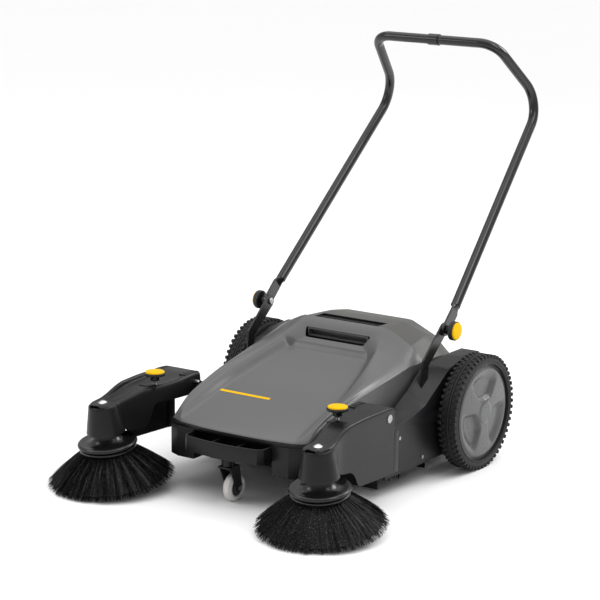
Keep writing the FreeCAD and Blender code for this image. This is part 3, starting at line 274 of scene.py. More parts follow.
def modify(piece: Piece, kind: str, **options) -> None:
    """Add a modifier and apply it.

    Args:
        piece: object to change.
        kind: modifier type, such as "BEVEL".
        options: modifier settings by name.
    """
    pick(piece)
    modifier = piece.modifiers.new(kind.title(), kind)
    for name, value in options.items():
        setattr(modifier, name, value)
    bpy.ops.object.modifier_apply(modifier=modifier.name)


def smooth(piece: Piece, degrees: float = 32.0) -> None:
    """Shade faces smooth where they meet at less than the given angle."""
    pick(piece)
    bpy.ops.object.shade_smooth_by_angle(angle=math.radians(degrees))


def outward(piece: Piece) -> None:
    """Turn all faces of a closed piece outwards."""
    pick(piece)
    bpy.ops.object.mode_set(mode="EDIT")
    bpy.ops.mesh.select_all(action="SELECT")
    bpy.ops.mesh.normals_make_consistent(inside=False)
    bpy.ops.object.mode_set(mode="OBJECT")


def copied(piece: Piece, name: str, change: Matrix | None = None) -> Piece:
    """Copy a piece with a mesh of its own, moved or mirrored if asked."""
    twin = piece.copy()
    twin.data = piece.data.copy()
    twin.name = twin.data.name = name
    bpy.context.scene.collection.objects.link(twin)
    if change:
        twin.data.transform(change)
        if change.determinant() < 0:
            twin.data.flip_normals()
    return twin


def mirrored(piece: Piece, name: str) -> Piece:
    """Copy a right-hand piece to the left."""
    return copied(piece, name, Matrix.Scale(-1, 4, (1, 0, 0)))


def united(pieces: Sequence[Piece], name: str) -> Piece:
    """Join several objects into one."""
    deselect()
    for piece in pieces:
        piece.select_set(True)
    bpy.context.view_layer.objects.active = pieces[0]
    if len(pieces) > 1:
        bpy.ops.object.join()
    pieces[0].name = pieces[0].data.name = name
    return pieces[0]


def dress(piece: Piece, finish: Finish) -> None:
    """Give a piece one finish all over."""
    piece.data.materials.clear()
    piece.data.materials.append(finish.material())


def hand_over(piece: Piece, body: str, slot: str, *nodes: str) -> None:
    """Register a finished piece with the frame.

    Args:
        piece: finished object.
        body: body that it rides on.
        slot: material slot in the record; not used.
        nodes: frame nodes that it stands for.
    """
    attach(piece, body)
    if nodes:
        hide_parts(*nodes)
    log.info("%s rides on %s, %d faces", piece.name, body, len(piece.data.polygons))


def grid(name: str, places: Sequence[Sequence[Vector]]) -> Piece:
    """Lay a flat grid of faces and pull each of its corners to its place.

    Args:
        name: object name.
        places: rows of corners; every row has the same count.

    Returns:
        The shaped grid.
    """
    deselect()
    across, along = len(places[0]) - 1, len(places) - 1
    bpy.ops.mesh.primitive_grid_add(x_subdivisions=across, y_subdivisions=along, size=1.0)
    piece = bpy.context.object
    piece.name = piece.data.name = name
    corners = [corner for row in places for corner in row]
    for vertex, corner in zip(piece.data.vertices, corners):
        vertex.co = corner
    return piece


def emptied(name: str) -> Piece:
    """Add a piece whose mesh is empty, ready to be filled."""
    deselect()
    bpy.ops.mesh.primitive_circle_add(vertices=3, radius=0.01)
    piece = bpy.context.object
    piece.name = piece.data.name = name
    piece.data.clear_geometry()
    return piece


def spun(name: str, outline: Sequence[tuple[float, float]], steps: int = 96) -> Piece:
    """Turn an outline of (radius, height) corners about the Z axis.

    Args:
        name: object name.
        outline: corners from one end to the other; ends on the axis close by themselves.
        steps: segments round the axis.

    Returns:
        The turned piece, standing on the origin.
    """
    piece = emptied(name)
    corners = [Vector((radius, 0.0, height)) for radius, height in outline]
    piece.data.from_pydata(corners, [(at, at + 1) for at in range(len(corners) - 1)], [])
    pick(piece)
    bpy.ops.object.mode_set(mode="EDIT")
    bpy.ops.mesh.select_all(action="SELECT")
    bpy.ops.mesh.spin(steps=steps, angle=2 * math.pi, center=(0, 0, 0), axis=(0, 0, 1))
    bpy.ops.mesh.select_all(action="SELECT")
    bpy.ops.mesh.remove_doubles(threshold=1e-6)
    bpy.ops.mesh.normals_make_consistent(inside=False)
    bpy.ops.object.mode_set(mode="OBJECT")
    return piece


def rounded(node: str, name: str, width: float, segments: int = 2, degrees: float = 26.0) -> Piece:
    """Copy a frame node and round its edges.

    Args:
        node: frame node to copy.
        name: name of the new piece.
        width: bevel width in metres.
        segments: bevel segments.
        degrees: edges sharper than this are rounded.

    Returns:
        The rounded copy, at the origin.
    """
    piece = copied(frame["nodes"][node], name)
    piece.parent = None
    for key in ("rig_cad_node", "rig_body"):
        if key in piece:
            del piece[key]
    pick(piece)
    bpy.ops.mesh.customdata_custom_splitnormals_clear()
    bpy.ops.object.mode_set(mode="EDIT")
    bpy.ops.mesh.select_all(action="SELECT")
    bpy.ops.mesh.remove_doubles(threshold=2e-5)
    bpy.ops.mesh.dissolve_limited(angle_limit=math.radians(0.6))
    bpy.ops.object.mode_set(mode="OBJECT")
    modify(piece, "BEVEL", width=width, segments=segments, limit_method="ANGLE",
           angle_limit=math.radians(degrees), use_clamp_overlap=True)
    smooth(piece, degrees + 4)
    return piece


def standing(piece: Piece, foot: Vector, axis: Vector) -> Piece:
    """Move a piece that was turned about Z onto another axis.

    Args:
        piece: piece that stands on the origin along +Z.
        foot: where its origin goes.
        axis: where its +Z points.

    Returns:
        The same piece.
    """
    turn = Vector((0, 0, 1)).rotation_difference(axis.normalized()).to_matrix().to_4x4()
    piece.data.transform(Matrix.Translation(foot) @ turn)
    return piece


def joint(name: str) -> tuple[Vector, Vector]:
    """Return a joint's place and axis."""
    found = next(entry for entry in frame["joints"] if entry["name"] == name)
    return Vector(found.get("pos_m", (0, 0, 0))), Vector(found["axis"])


def eased(amount: float) -> float:
    """Ease a share between 0 and 1 in and out."""
    amount = min(max(amount, 0.0), 1.0)
    return amount * amount * (3 - 2 * amount)


# ------------------------------------------------------------------ hood


@dataclass(frozen=True)
class Track:
    """A value that changes along the machine, given at a few stations."""

    keys: tuple[tuple[float, float], ...]

    def at(self, station: float) -> float:
        """Return the value at a station."""
        return float(np.interp(station, [key[0] for key in self.keys], [key[1] for key in self.keys]))


@dataclass
class Hood:
    """The grey hood: sunk centre panel, ridges, flared corners and a carrying grip.

    Stations run along Y. Each line of the surface has its distance from the middle and its height as tracks.
    """

    finish: Finish = HOOD_GREY
    wall: float = 0.003
    bow: float = 0.031
    bow_half_width: float = 0.200
    bow_end: float = -0.46
    stations: tuple[float, ...] = (
        -0.5825, -0.580, -0.572, -0.552, -0.515, -0.46, -0.41, -0.358, -0.30, -0.25, -0.205, -0.178,
        -0.174, -0.168, -0.164, -0.160, -0.1500, -0.140, -0.1310, -0.122, -0.114, -0.106, -0.102, -0.1005,
    )
    panel: Track = Track((
        (-0.5825, 0.1665), (-0.580, 0.1695), (-0.572, 0.1725), (-0.552, 0.1785), (-0.358, 0.2270),
        (-0.205, 0.2715), (-0.178, 0.2795), (-0.174, 0.2815), (-0.168, 0.2925), (-0.164, 0.2975),
        (-0.160, 0.3000), (-0.1500, 0.3065), (-0.140, 0.3190), (-0.1310, 0.3285), (-0.122, 0.3375),
        (-0.114, 0.3435), (-0.106, 0.3480), (-0.102, 0.3495), (-0.1005, 0.3498),
    ))
    panel_edge: Track = Track((
        (-0.5825, 0.165), (-0.552, 0.168), (-0.358, 0.162), (-0.25, 0.141), (-0.178, 0.121),
        (-0.168, 0.112), (-0.160, 0.102), (-0.154, 0.086), (-0.1265, 0.100), (-0.102, 0.104),
    ))
    ridge: Track = Track((
        (-0.5825, 0.182), (-0.552, 0.184), (-0.358, 0.179), (-0.25, 0.158), (-0.172, 0.138),
        (-0.134, 0.128), (-0.102, 0.120),
    ))
    ridge_height: Track = Track((
        (-0.5825, 0.1665), (-0.580, 0.1705), (-0.572, 0.1765), (-0.552, 0.1880), (-0.515, 0.2020),
        (-0.46, 0.2190), (-0.358, 0.2460), (-0.25, 0.2800), (-0.172, 0.3080), (-0.134, 0.3290),
        (-0.117, 0.3400), (-0.102, 0.3492), (-0.1005, 0.3498),
    ))
    shoulder: Track = Track((
        (-0.5825, 0.193), (-0.552, 0.1975), (-0.515, 0.2010), (-0.358, 0.2060), (-0.16, 0.1960),
        (-0.102, 0.1970),
    ))
    shoulder_height: Track = Track((
        (-0.5825, 0.1665), (-0.580, 0.1705), (-0.572, 0.1775), (-0.552, 0.1895), (-0.515, 0.2085),
        (-0.358, 0.2525), (-0.25, 0.2765), (-0.16, 0.2995), (-0.102, 0.3150), (-0.1005, 0.3155),
    ))
    crease: Track = Track(((-0.5825, 0.2000), (-0.552, 0.2015), (-0.102, 0.2325)))
    crease_height: Track = Track((
        (-0.5825, 0.1665), (-0.580, 0.1700), (-0.572, 0.1755), (-0.552, 0.1850), (-0.515, 0.2000),
        (-0.358, 0.2400), (-0.25, 0.2600), (-0.16, 0.2760), (-0.1005, 0.2800),
    ))
    base: Track = Track(((-0.5825, 0.1655), (-0.358, 0.1655), (-0.16, 0.1935), (-0.1005, 0.1935)))
    slot: tuple[float, float] = (-0.1500, -0.1310)
    step: tuple[float, float] = (-0.174, -0.164)
    slot_reach: int = 3
    ridge_columns: tuple[int, int] = (-9, 9)
    ridge_crease: float = 0.55
    rim_crease: float = 0.6
    stripe_start: Vector = field(default_factory=lambda: Vector((-0.158, -0.410)))
    stripe_length: float = 0.148
    stripe_width: float = 0.0085

    def line(self, station: float) -> list[tuple[float, float]]:
        """Return the right half's corners at a station, from the middle outwards."""
        edge, low = self.panel_edge.at(station), self.panel.at(station)
        ridge, high = self.ridge.at(station), self.ridge_height.at(station)
        shoulder, side = self.shoulder.at(station), self.shoulder_height.at(station)
        crease, fold = self.crease.at(station), self.crease_height.at(station)
        foot = self.base.at(station)
        return [(0.0, low), (edge * 0.5, low), (edge - 0.006, low), (edge, low + (high - low) * 0.06),
                (ridge - 0.004, low + (high - low) * 0.94), (ridge + 0.006, high),
                (ridge * 0.5 + shoulder * 0.5, high * 0.5 + side * 0.5 + 0.0012), (shoulder, side),
                (crease - 0.006, fold + 0.0045), (crease, fold), (crease + 0.0008, fold * 0.7 + foot * 0.3),
                (crease + 0.0008, foot)]

    def place(self, station: float, across: float, height: float) -> Vector:
        """Return a corner's place; the front edge bows back towards its ends."""
        share = 1 - eased((station - self.stations[0]) / (self.bow_end - self.stations[0]))
        return Vector((across, station + self.bow * share * (abs(across) / self.bow_half_width) ** 4, height))

    def shell(self) -> Piece:
        """Build the smooth shell with its grip slot."""
        rows = []
        for station in self.stations:
            half = self.line(station)
            row = [self.place(station, -across, height) for across, height in reversed(half[1:])]
            rows.append(row + [self.place(station, across, height) for across, height in half])
        piece = grid("hood_shell", rows)
        width = len(rows[0])
        middle = width // 2
        first, last = self.stations.index(self.slot[0]), self.stations.index(self.slot[1])
        piece.data.attributes.new("crease_edge", "FLOAT", "EDGE")
        creases = piece.data.attributes["crease_edge"].data
        along = {middle + offset for offset in self.ridge_columns}
        rims = {self.stations.index(station) for station in (*self.step, *self.slot)}
        for edge in piece.data.edges:
            one, two = sorted(edge.vertices)
            row, column = divmod(one, width)
            if two - one == width and column in along:
                creases[edge.index].value = self.ridge_crease
            if two - one == 1 and row in rims and abs(column + 0.5 - middle) < self.slot_reach + 0.5:
                creases[edge.index].value = self.rim_crease

        def in_slot(face: bpy.types.MeshPolygon) -> bool:
            """Tell whether a face lies in the grip slot."""
            spots = (divmod(index, width) for index in face.vertices)
            reach = self.slot_reach
            return all(first <= row <= last and abs(column - middle) <= reach for row, column in spots)

        choose_faces(piece, in_slot)
        bpy.ops.mesh.delete(type="FACE")
        bpy.ops.object.mode_set(mode="OBJECT")
        self.face_up(piece)
        modify(piece, "SUBSURF", levels=3, render_levels=3, boundary_smooth="PRESERVE_CORNERS")
        modify(piece, "SOLIDIFY", thickness=self.wall, offset=-1.0)
        smooth(piece, 40)
        return piece

    @staticmethod
    def face_up(piece: Piece) -> None:
        """Turn an open sheet's faces upwards."""
        if sum(face.normal.z * face.area for face in piece.data.polygons) < 0:
            piece.data.flip_normals()

    def stripe(self, shell: Piece) -> Piece:
        """Lay a plain printed stripe on the panel."""
        steps = 24
        rows = []
        for offset in (0.0, self.stripe_width):
            row = []
            for step in range(steps + 1):
                across = self.stripe_start.x + self.stripe_length * step / steps
                row.append(Vector((across, self.stripe_start.y - offset, 0.30)))
            rows.append(row)
        piece = grid("hood_stripe", rows)
        modify(piece, "SHRINKWRAP", target=shell, wrap_method="PROJECT", use_project_z=True,
               use_negative_direction=True, use_positive_direction=False, offset=0.0004)
        self.face_up(piece)
        modify(piece, "SOLIDIFY", thickness=0.0003, offset=-1.0)
        return piece

    def build(self) -> None:
        """Build and register the hood."""
        shell = self.shell()
        dress(shell, self.finish)
        stripe = self.stripe(shell)
        dress(stripe, CAP_YELLOW)
        hand_over(shell, "chassis", "hood_grey", "hood")
        hand_over(stripe, "chassis", "knob_yellow")


# ------------------------------------------------------------------ wheels


@dataclass
class Wheel:
    """A big wheel: tyre with tread blocks, and a sculpted hub cap."""

    lugs: int = 56
    lug_height: float = 0.0030
    lug_length: float = 0.0098
    side_lug_depth: float = 0.0095
    rib_depth: float = 0.0060
    rib_start: float = 0.0125
    edge_gap: float = 0.0002
    sidewall: float = 0.024
    tread_root: float = 0.004
    petals: int = 3
    petal_depth: float = 0.0110
    cap_rise: float = 0.0125

    def tyre(self) -> Piece:
        """Build the right-hand tyre along Z: its carcass and its staggered tread blocks."""
        low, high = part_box("tyre_right")
        width, outer = high.x - low.x, (high.z - low.z) / 2
        inner = outer - self.sidewall
        crown = outer - self.lug_height
        outline = [
            (inner, 0.001), (inner + 0.004, 0.0), (crown - 0.010, 0.0008), (crown - 0.002, 0.004),
            (crown, 0.009), (crown, 0.0195), (crown + 0.0024, 0.0202), (crown + 0.0028, 0.0240),
            (crown + 0.0006, 0.0246), (crown + 0.0006, width - 0.0246), (crown + 0.0028, width - 0.0240),
            (crown + 0.0024, width - 0.0202), (crown, width - 0.0195), (crown, width - 0.009),
            (crown - 0.002, width - 0.004), (crown - 0.008, width - 0.0012),
            (inner + 0.009, width - 0.0008), (inner + 0.0075, width - 0.0022),
            (inner + 0.0045, width - 0.0022), (inner + 0.003, width - 0.0006),
            (inner + 0.0004, width - 0.002), (inner, width - 0.008), (inner, 0.001),
        ]
        carcass = spun("tyre_carcass", outline, 132)
        blocks = [carcass]
        side, crown_rib, edge = self.side_lug_depth, self.rib_depth, self.edge_gap
        rows = (
            (edge, side, 0.0), (width - side - edge, side, 0.0), (self.rib_start, crown_rib, 0.5),
            (width - crown_rib - self.rib_start, crown_rib, 0.5),
        )
        for start, depth, shift in rows:
            block = self.block(crown, outer, start, depth)
            blocks.append(self.ring(block, shift))
        return united(blocks, "tyre_treaded")

    def block(self, crown: float, outer: float, start: float, depth: float) -> Piece:
        """Model one tread block, a little narrower at its top."""
        deselect()
        height = outer - crown + self.tread_root
        bpy.ops.mesh.primitive_cube_add(size=1.0)
        block = bpy.context.object
        block.data.transform(Matrix.Diagonal((height, self.lug_length, depth, 1)))
        for vertex in block.data.vertices:
            if vertex.co.x > 0:
                vertex.co.y *= 0.78
                vertex.co.z *= 0.86
        block.data.transform(Matrix.Translation((crown - self.tread_root + height / 2, 0, start + depth / 2)))
        modify(block, "BEVEL", width=0.0009, segments=1, limit_method="NONE")
        return block

    def ring(self, block: Piece, shift: float) -> Piece:
        """Copy one block round the tyre."""
        copies = [block]
        for at in range(self.lugs):
            angle = 2 * math.pi * (at + shift) / self.lugs
            copies.append(copied(block, "lug", Matrix.Rotation(angle, 4, "Z")))
        bpy.data.objects.remove(copies.pop(0))
        return united(copies, "lug_ring")

    def cap_height(self, radius: float, angle: float, reach: float) -> float:
        """Return the height at a place on a shallow dish with scooped petals and a raised centre."""
        share = radius / reach
        rise = self.cap_rise * (1 - 0.45 * share ** 2) - 0.004 * eased((share - 0.90) / 0.1)
        wave = 0.5 + 0.5 * math.cos(self.petals * (angle - math.pi / 2))
        across = eased((wave - 0.22) / 0.34)
        along = eased((share - 0.24 - 0.10 * (1 - wave)) / 0.10) * eased((0.90 - share) / 0.26)
        hub = 0.0022 * eased((0.26 - share) / 0.07)
        groove = -0.0016 * math.exp(-((share - 0.945) / 0.012) ** 2)
        return rise - self.petal_depth * across * along + hub + groove

    def cap(self) -> Piece:
        """Build the right-hand hub cap along Z."""
        low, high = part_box("hub_cap_right")
        reach = (high.z - low.z) / 2 - 0.0004
        rings, spokes = 44, 144
        outline = [(reach * at / rings, 0.0) for at in range(rings + 1)]
        piece = spun("hub_cap_sculpted", outline, spokes)
        top = high.x - low.x - 0.0135
        for vertex in piece.data.vertices:
            radius = math.hypot(vertex.co.x, vertex.co.y)
            angle = math.atan2(vertex.co.y, vertex.co.x)
            vertex.co.z = top + self.cap_height(radius, angle, reach)
        if sum(face.normal.z for face in piece.data.polygons) < 0:
            piece.data.flip_normals()
        modify(piece, "SOLIDIFY", thickness=0.003, offset=-1.0)
        smooth(piece, 40)
        return piece

    def build(self) -> None:
        """Build and register both wheels."""
        tyre_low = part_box("tyre_right")[0]
        cap_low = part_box("hub_cap_right")[0]
        axle = joint("wheel_right_spin")[0]
        lay = Matrix.Rotation(math.pi / 2, 4, "Y") @ Matrix.Rotation(math.pi / 2, 4, "Z")
        tyre, cap = self.tyre(), self.cap()
        tyre.data.transform(Matrix.Translation((tyre_low.x, axle.y, axle.z)) @ lay)
        cap.data.transform(Matrix.Translation((cap_low.x, axle.y, axle.z)) @ lay)
        smooth(tyre, 30)
        dress(tyre, RUBBER)
        dress(cap, HUB_GREY)
        for piece, node, slot in ((tyre, "tyre", "tyre_black"), (cap, "hub_cap", "hub_grey")):
            hand_over(mirrored(piece, f"{piece.name}_left"), "wheel_left", slot, f"{node}_left")
            piece.name = f"{piece.name}_right"
            hand_over(piece, "wheel_right", slot, f"{node}_right")


# ------------------------------------------------------------------ brushes


@dataclass
class StrandBed:
    """Bristles modelled as thin tapering strands with three sides."""

    radius: float = 0.00075

    def grow(self, name: str, paths: Iterable[Sequence[Vector]]) -> Piece:
        """Build one mesh of strands.

        Args:
            name: object name.
            paths: for each strand, its places from root to tip.

        Returns:
            The bed of strands.
        """
        corners: list[Vector] = []
        faces: list[tuple[int, ...]] = []
        for path in paths:
            first = len(corners)
            count = len(path)
            for at, spot in enumerate(path):
                ahead = path[min(at + 1, count - 1)] - path[max(at - 1, 0)]
                side = ahead.orthogonal().normalized()
                thick = self.radius * (1 - 0.55 * at / (count - 1))
                for turn in range(3):
                    arm = Matrix.Rotation(turn * 2 * math.pi / 3, 3, ahead) @ side
                    corners.append(spot + arm * thick)
            for at in range(count - 1):
                for turn in range(3):
                    a, b = first + at * 3 + turn, first + at * 3 + (turn + 1) % 3
                    faces.append((a, b, b + 3, a + 3))
            faces.append((first + 2, first + 1, first))
            tip = first + (count - 1) * 3
            faces.append((tip, tip + 1, tip + 2))
        piece = emptied(name)
        piece.data.from_pydata(corners, [], faces)
        piece.data.update()
        return piece


@dataclass
class SideBrush:
    """A side brush: flared disc and a skirt of bristles."""

    tufts: int = 54
    strands_per_tuft: int = 46
    root: float = 0.064
    root_height: float = 0.076
    tip: float = 0.1560
    tip_spread: float = 0.036
    disc_rim: float = 0.0728
    belly: float = 0.0035
    ripple: float = 0.010

    def strands(self) -> Piece:
        """Grow the skirt of bristles round Z, in tufts that fan out towards their tips."""
        chance = random.Random(11)
        paths = []
        for tuft in range(self.tufts):
            heading = 2 * math.pi * (tuft + 0.5 * chance.random()) / self.tufts
            for strand in range(self.strands_per_tuft):
                layer = chance.random()
                root_angle = heading + chance.uniform(-0.4, 0.4) / 12
                tip_angle = heading + chance.uniform(-1, 1) * math.pi / self.tufts * 1.5
                start = self.root - 0.016 * layer
                reach = self.tip - self.tip_spread * layer ** 1.6 + chance.uniform(-0.005, 0.0015)
                drop = 0.0012 + chance.uniform(0, 0.003)
                places = []
                for step in range(4):
                    share = step / 3
                    angle = root_angle + (tip_angle - root_angle) * share
                    radius = start + (reach - start) * (share * 0.93 + 0.07 * share ** 2)
                    height = self.root_height + (drop - self.root_height) * share
                    height += self.belly * math.sin(math.pi * share)
                    places.append(Vector((radius * math.cos(angle), radius * math.sin(angle), height)))
                paths.append(places)
        return StrandBed(0.0008).grow("brush_strands", paths)

    def undercoat(self) -> Piece:
        """Turn the dark inner cone that the bristles lie on."""
        outline = [
            (self.root - 0.012, self.root_height), (self.root - 0.002, self.root_height), (0.110, 0.0385),
            (0.142, 0.0100), (0.120, 0.0060), (0.085, 0.028), (0.045, 0.062),
            (self.root - 0.012, self.root_height),
        ]
        cone = spun("brush_undercoat", outline, 180)
        chance = random.Random(5)
        for vertex in cone.data.vertices:
            heading = math.atan2(vertex.co.y, vertex.co.x)
            ripple = 1 + self.ripple * math.sin(heading * self.tufts) + chance.uniform(-0.008, 0.008)
            vertex.co.x *= ripple
            vertex.co.y *= ripple
        return cone

    def disc(self) -> Piece:
        """Turn the flared disc: neck, trumpet, rolled rim and the brush block under it."""
        rim = self.disc_rim
        outline = [
            (0.0082, 0.078), (rim - 0.006, 0.078), (rim - 0.0045, 0.0788), (rim - 0.0036, 0.0805),
            (rim - 0.0036, 0.0840), (rim - 0.0052, 0.0856), (rim - 0.0085, 0.0862), (rim - 0.0085, 0.0872),
            (rim - 0.0040, 0.0876), (rim - 0.0012, 0.0892), (rim, 0.0920), (rim - 0.0006, 0.0952),
            (rim - 0.0030, 0.0976), (rim - 0.0070, 0.0984), (rim - 0.0140, 0.0968), (rim - 0.0220, 0.0966),
            (rim - 0.0300, 0.0988), (0.0372, 0.1034), (0.0330, 0.1085), (0.0306, 0.1130), (0.0300, 0.1165),
            (0.0290, 0.1168), (0.0082, 0.1168), (0.0082, 0.078),
        ]
        piece = spun("brush_disc_turned", outline, 128)
        smooth(piece, 38)
        return piece

    def build(self) -> None:
        """Build and register both side brushes."""
        strands, cone, disc = self.strands(), self.undercoat(), self.disc()
        smooth(cone, 60)
        right = (strands, cone, disc)
        left = tuple(mirrored(piece, f"{piece.name}_left") for piece in right)
        for side, own in ((Side.RIGHT, right), (Side.LEFT, left)):
            body = f"side_brush_{side.label}"
            foot, axis = joint(f"{body}_spin")
            for piece in own:
                standing(piece, foot, axis)
            skirt = united(own[:2], f"brush_skirt_{side.label}")
            dress(skirt, BRISTLE)
            dress(own[2], GLOSS_BLACK)
            own[2].name = f"brush_disc_turned_{side.label}"
            hand_over(skirt, body, "bristle_black", f"brush_bristles_{side.label}")
            hand_over(own[2], body, "knob_black", f"brush_disc_{side.label}")


@dataclass
class RollerBrush:
    """The main roller: rows of tufts wound round its core in chevrons."""

    rows: int = 10
    tufts_per_row: int = 44
    strands_per_tuft: int = 12
    twist: float = 0.5

    def build(self) -> None:
        """Build and register the roller's bristles."""
        low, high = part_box("roller_bristles")
        place = joint("roller_spin")[0]
        outer = (high.z - low.z) / 2 - 0.0004
        core = (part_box("roller_core")[1].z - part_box("roller_core")[0].z) / 2
        chance = random.Random(3)
        half = (high.x - low.x) / 2 - 0.006
        paths = []
        for row in range(self.rows):
            for tuft in range(self.tufts_per_row):
                across = -half + 2 * half * tuft / (self.tufts_per_row - 1)
                angle = 2 * math.pi * row / self.rows + self.twist * abs(across) / half
                for _ in range(self.strands_per_tuft):
                    lean, slip = chance.uniform(-0.10, 0.10), chance.uniform(-0.005, 0.005)
                    tip = outer - chance.uniform(0.0, 0.003)
                    ends = []
                    for radius, share in ((core - 0.001, 0.25), ((core + tip) / 2, 0.6), (tip, 1.0)):
                        heading = angle + lean * share
                        ends.append(Vector((across + slip * share, place.y + radius * math.cos(heading),
                                            place.z + radius * math.sin(heading))))
                    paths.append(ends)
        tufts = StrandBed(0.0010).grow("roller_tufts", paths)
        dress(tufts, BRISTLE)
        hand_over(tufts, "roller", "bristle_black", "roller_bristles")


# ------------------------------------------------------------------ knobs and arms


@dataclass
class Knob:
    """A clamping knob: grooved rim, ribbed neck and a domed yellow cap."""

    rim: float = 0.0260
    cap: float = 0.0235
    neck: float = 0.0110
    neck_height: float = 0.0105
    rim_height: float = 0.0090
    cap_height: float = 0.0045
    grooves: int = 28
    groove_depth: float = 0.0011

    def body(self) -> Piece:
        """Turn the knob's black body along +Z from its seat, then groove its rim."""
        low, high = self.neck_height, self.neck_height + self.rim_height
        outline = [
            (0.0, 0.0), (self.neck + 0.0012, 0.0), (self.neck + 0.0016, 0.0012),
            (self.neck - 0.0004, 0.0020), (self.neck - 0.0004, 0.0032), (self.neck + 0.0012, 0.0040),
            (self.neck + 0.0012, 0.0052), (self.neck - 0.0004, 0.0060), (self.neck, low - 0.0020),
            (self.neck + 0.0040, low - 0.0004), (self.rim - 0.0050, low + 0.0006),
            (self.rim - 0.0012, low + 0.0018), (self.rim, low + 0.0034), (self.rim, high - 0.0014),
            (self.rim - 0.0009, high - 0.0002), (self.cap + 0.0008, high),
            (self.cap + 0.0002, high - 0.0012), (0.0, high - 0.0012),
        ]
        piece = spun("knob_body", outline, self.grooves * 6)
        for vertex in piece.data.vertices:
            radius = math.hypot(vertex.co.x, vertex.co.y)
            if radius > self.rim - 0.0016 and low < vertex.co.z < high - 0.0001:
                wave = 0.5 + 0.5 * math.cos(self.grooves * math.atan2(vertex.co.y, vertex.co.x))
                scale = 1 - self.groove_depth * wave ** 2 / radius
                vertex.co.x *= scale
                vertex.co.y *= scale
        smooth(piece, 34)
        return piece

    def lid(self) -> Piece:
        """Turn the domed cap."""
        base = self.neck_height + self.rim_height - 0.0012
        top = base + self.cap_height + 0.0010
        outline = [
            (0.0, base), (self.cap, base), (self.cap, top - 0.0030), (self.cap - 0.0004, top - 0.0019),
            (self.cap - 0.0014, top - 0.0012), (self.cap - 0.0032, top - 0.0010),
            (self.cap - 0.0040, top - 0.0013), (self.cap - 0.0052, top - 0.0009),
            (self.cap * 0.6, top - 0.0003), (self.cap * 0.3, top), (0.0, top + 0.0001),
        ]
        piece = spun("knob_lid", outline, 72)
        smooth(piece, 50)
        return piece

    def place(self, seat: Vector, axis: Vector, body: str, nodes: tuple[str, str],
              stud: tuple[float, float]) -> None:
        """Put a knob with its stud on its axis.

        Args:
            seat: where the neck stands.
            axis: from the seat to the cap.
            body: body that it rides on.
            nodes: frame nodes of the knob and its cap.
            stud: radius and length of the steel stud below the seat.
        """
        black, cap = standing(self.body(), seat, axis), standing(self.lid(), seat, axis)
        rod = spun("knob_stud", self.thread(*stud), 24)
        standing(rod, seat, axis)
        smooth(rod, 30)
        for piece, word, finish, slot, stands_for in (
                (black, "body", GLOSS_BLACK, "knob_black", nodes[:1]),
                (cap, "cap", CAP_YELLOW, "knob_yellow", nodes[1:]),
                (rod, "stud", STEEL, "zinc_steel", ())):
            piece.name = f"{body}_{word}"
            dress(piece, finish)
            hand_over(piece, body, slot, *stands_for)

    @staticmethod
    def thread(radius: float, length: float) -> list[tuple[float, float]]:
        """Return a threaded stud's outline, downwards from the seat."""
        pitch = 0.0013
        turns = int(length / pitch)
        outline = [(0.0, -length)]
        for turn in range(turns):
            low = -length + turn * pitch
            outline += [(radius - 0.0006, low), (radius, low + pitch / 2)]
        return outline + [(radius - 0.0006, 0.0), (0.0, 0.0)]


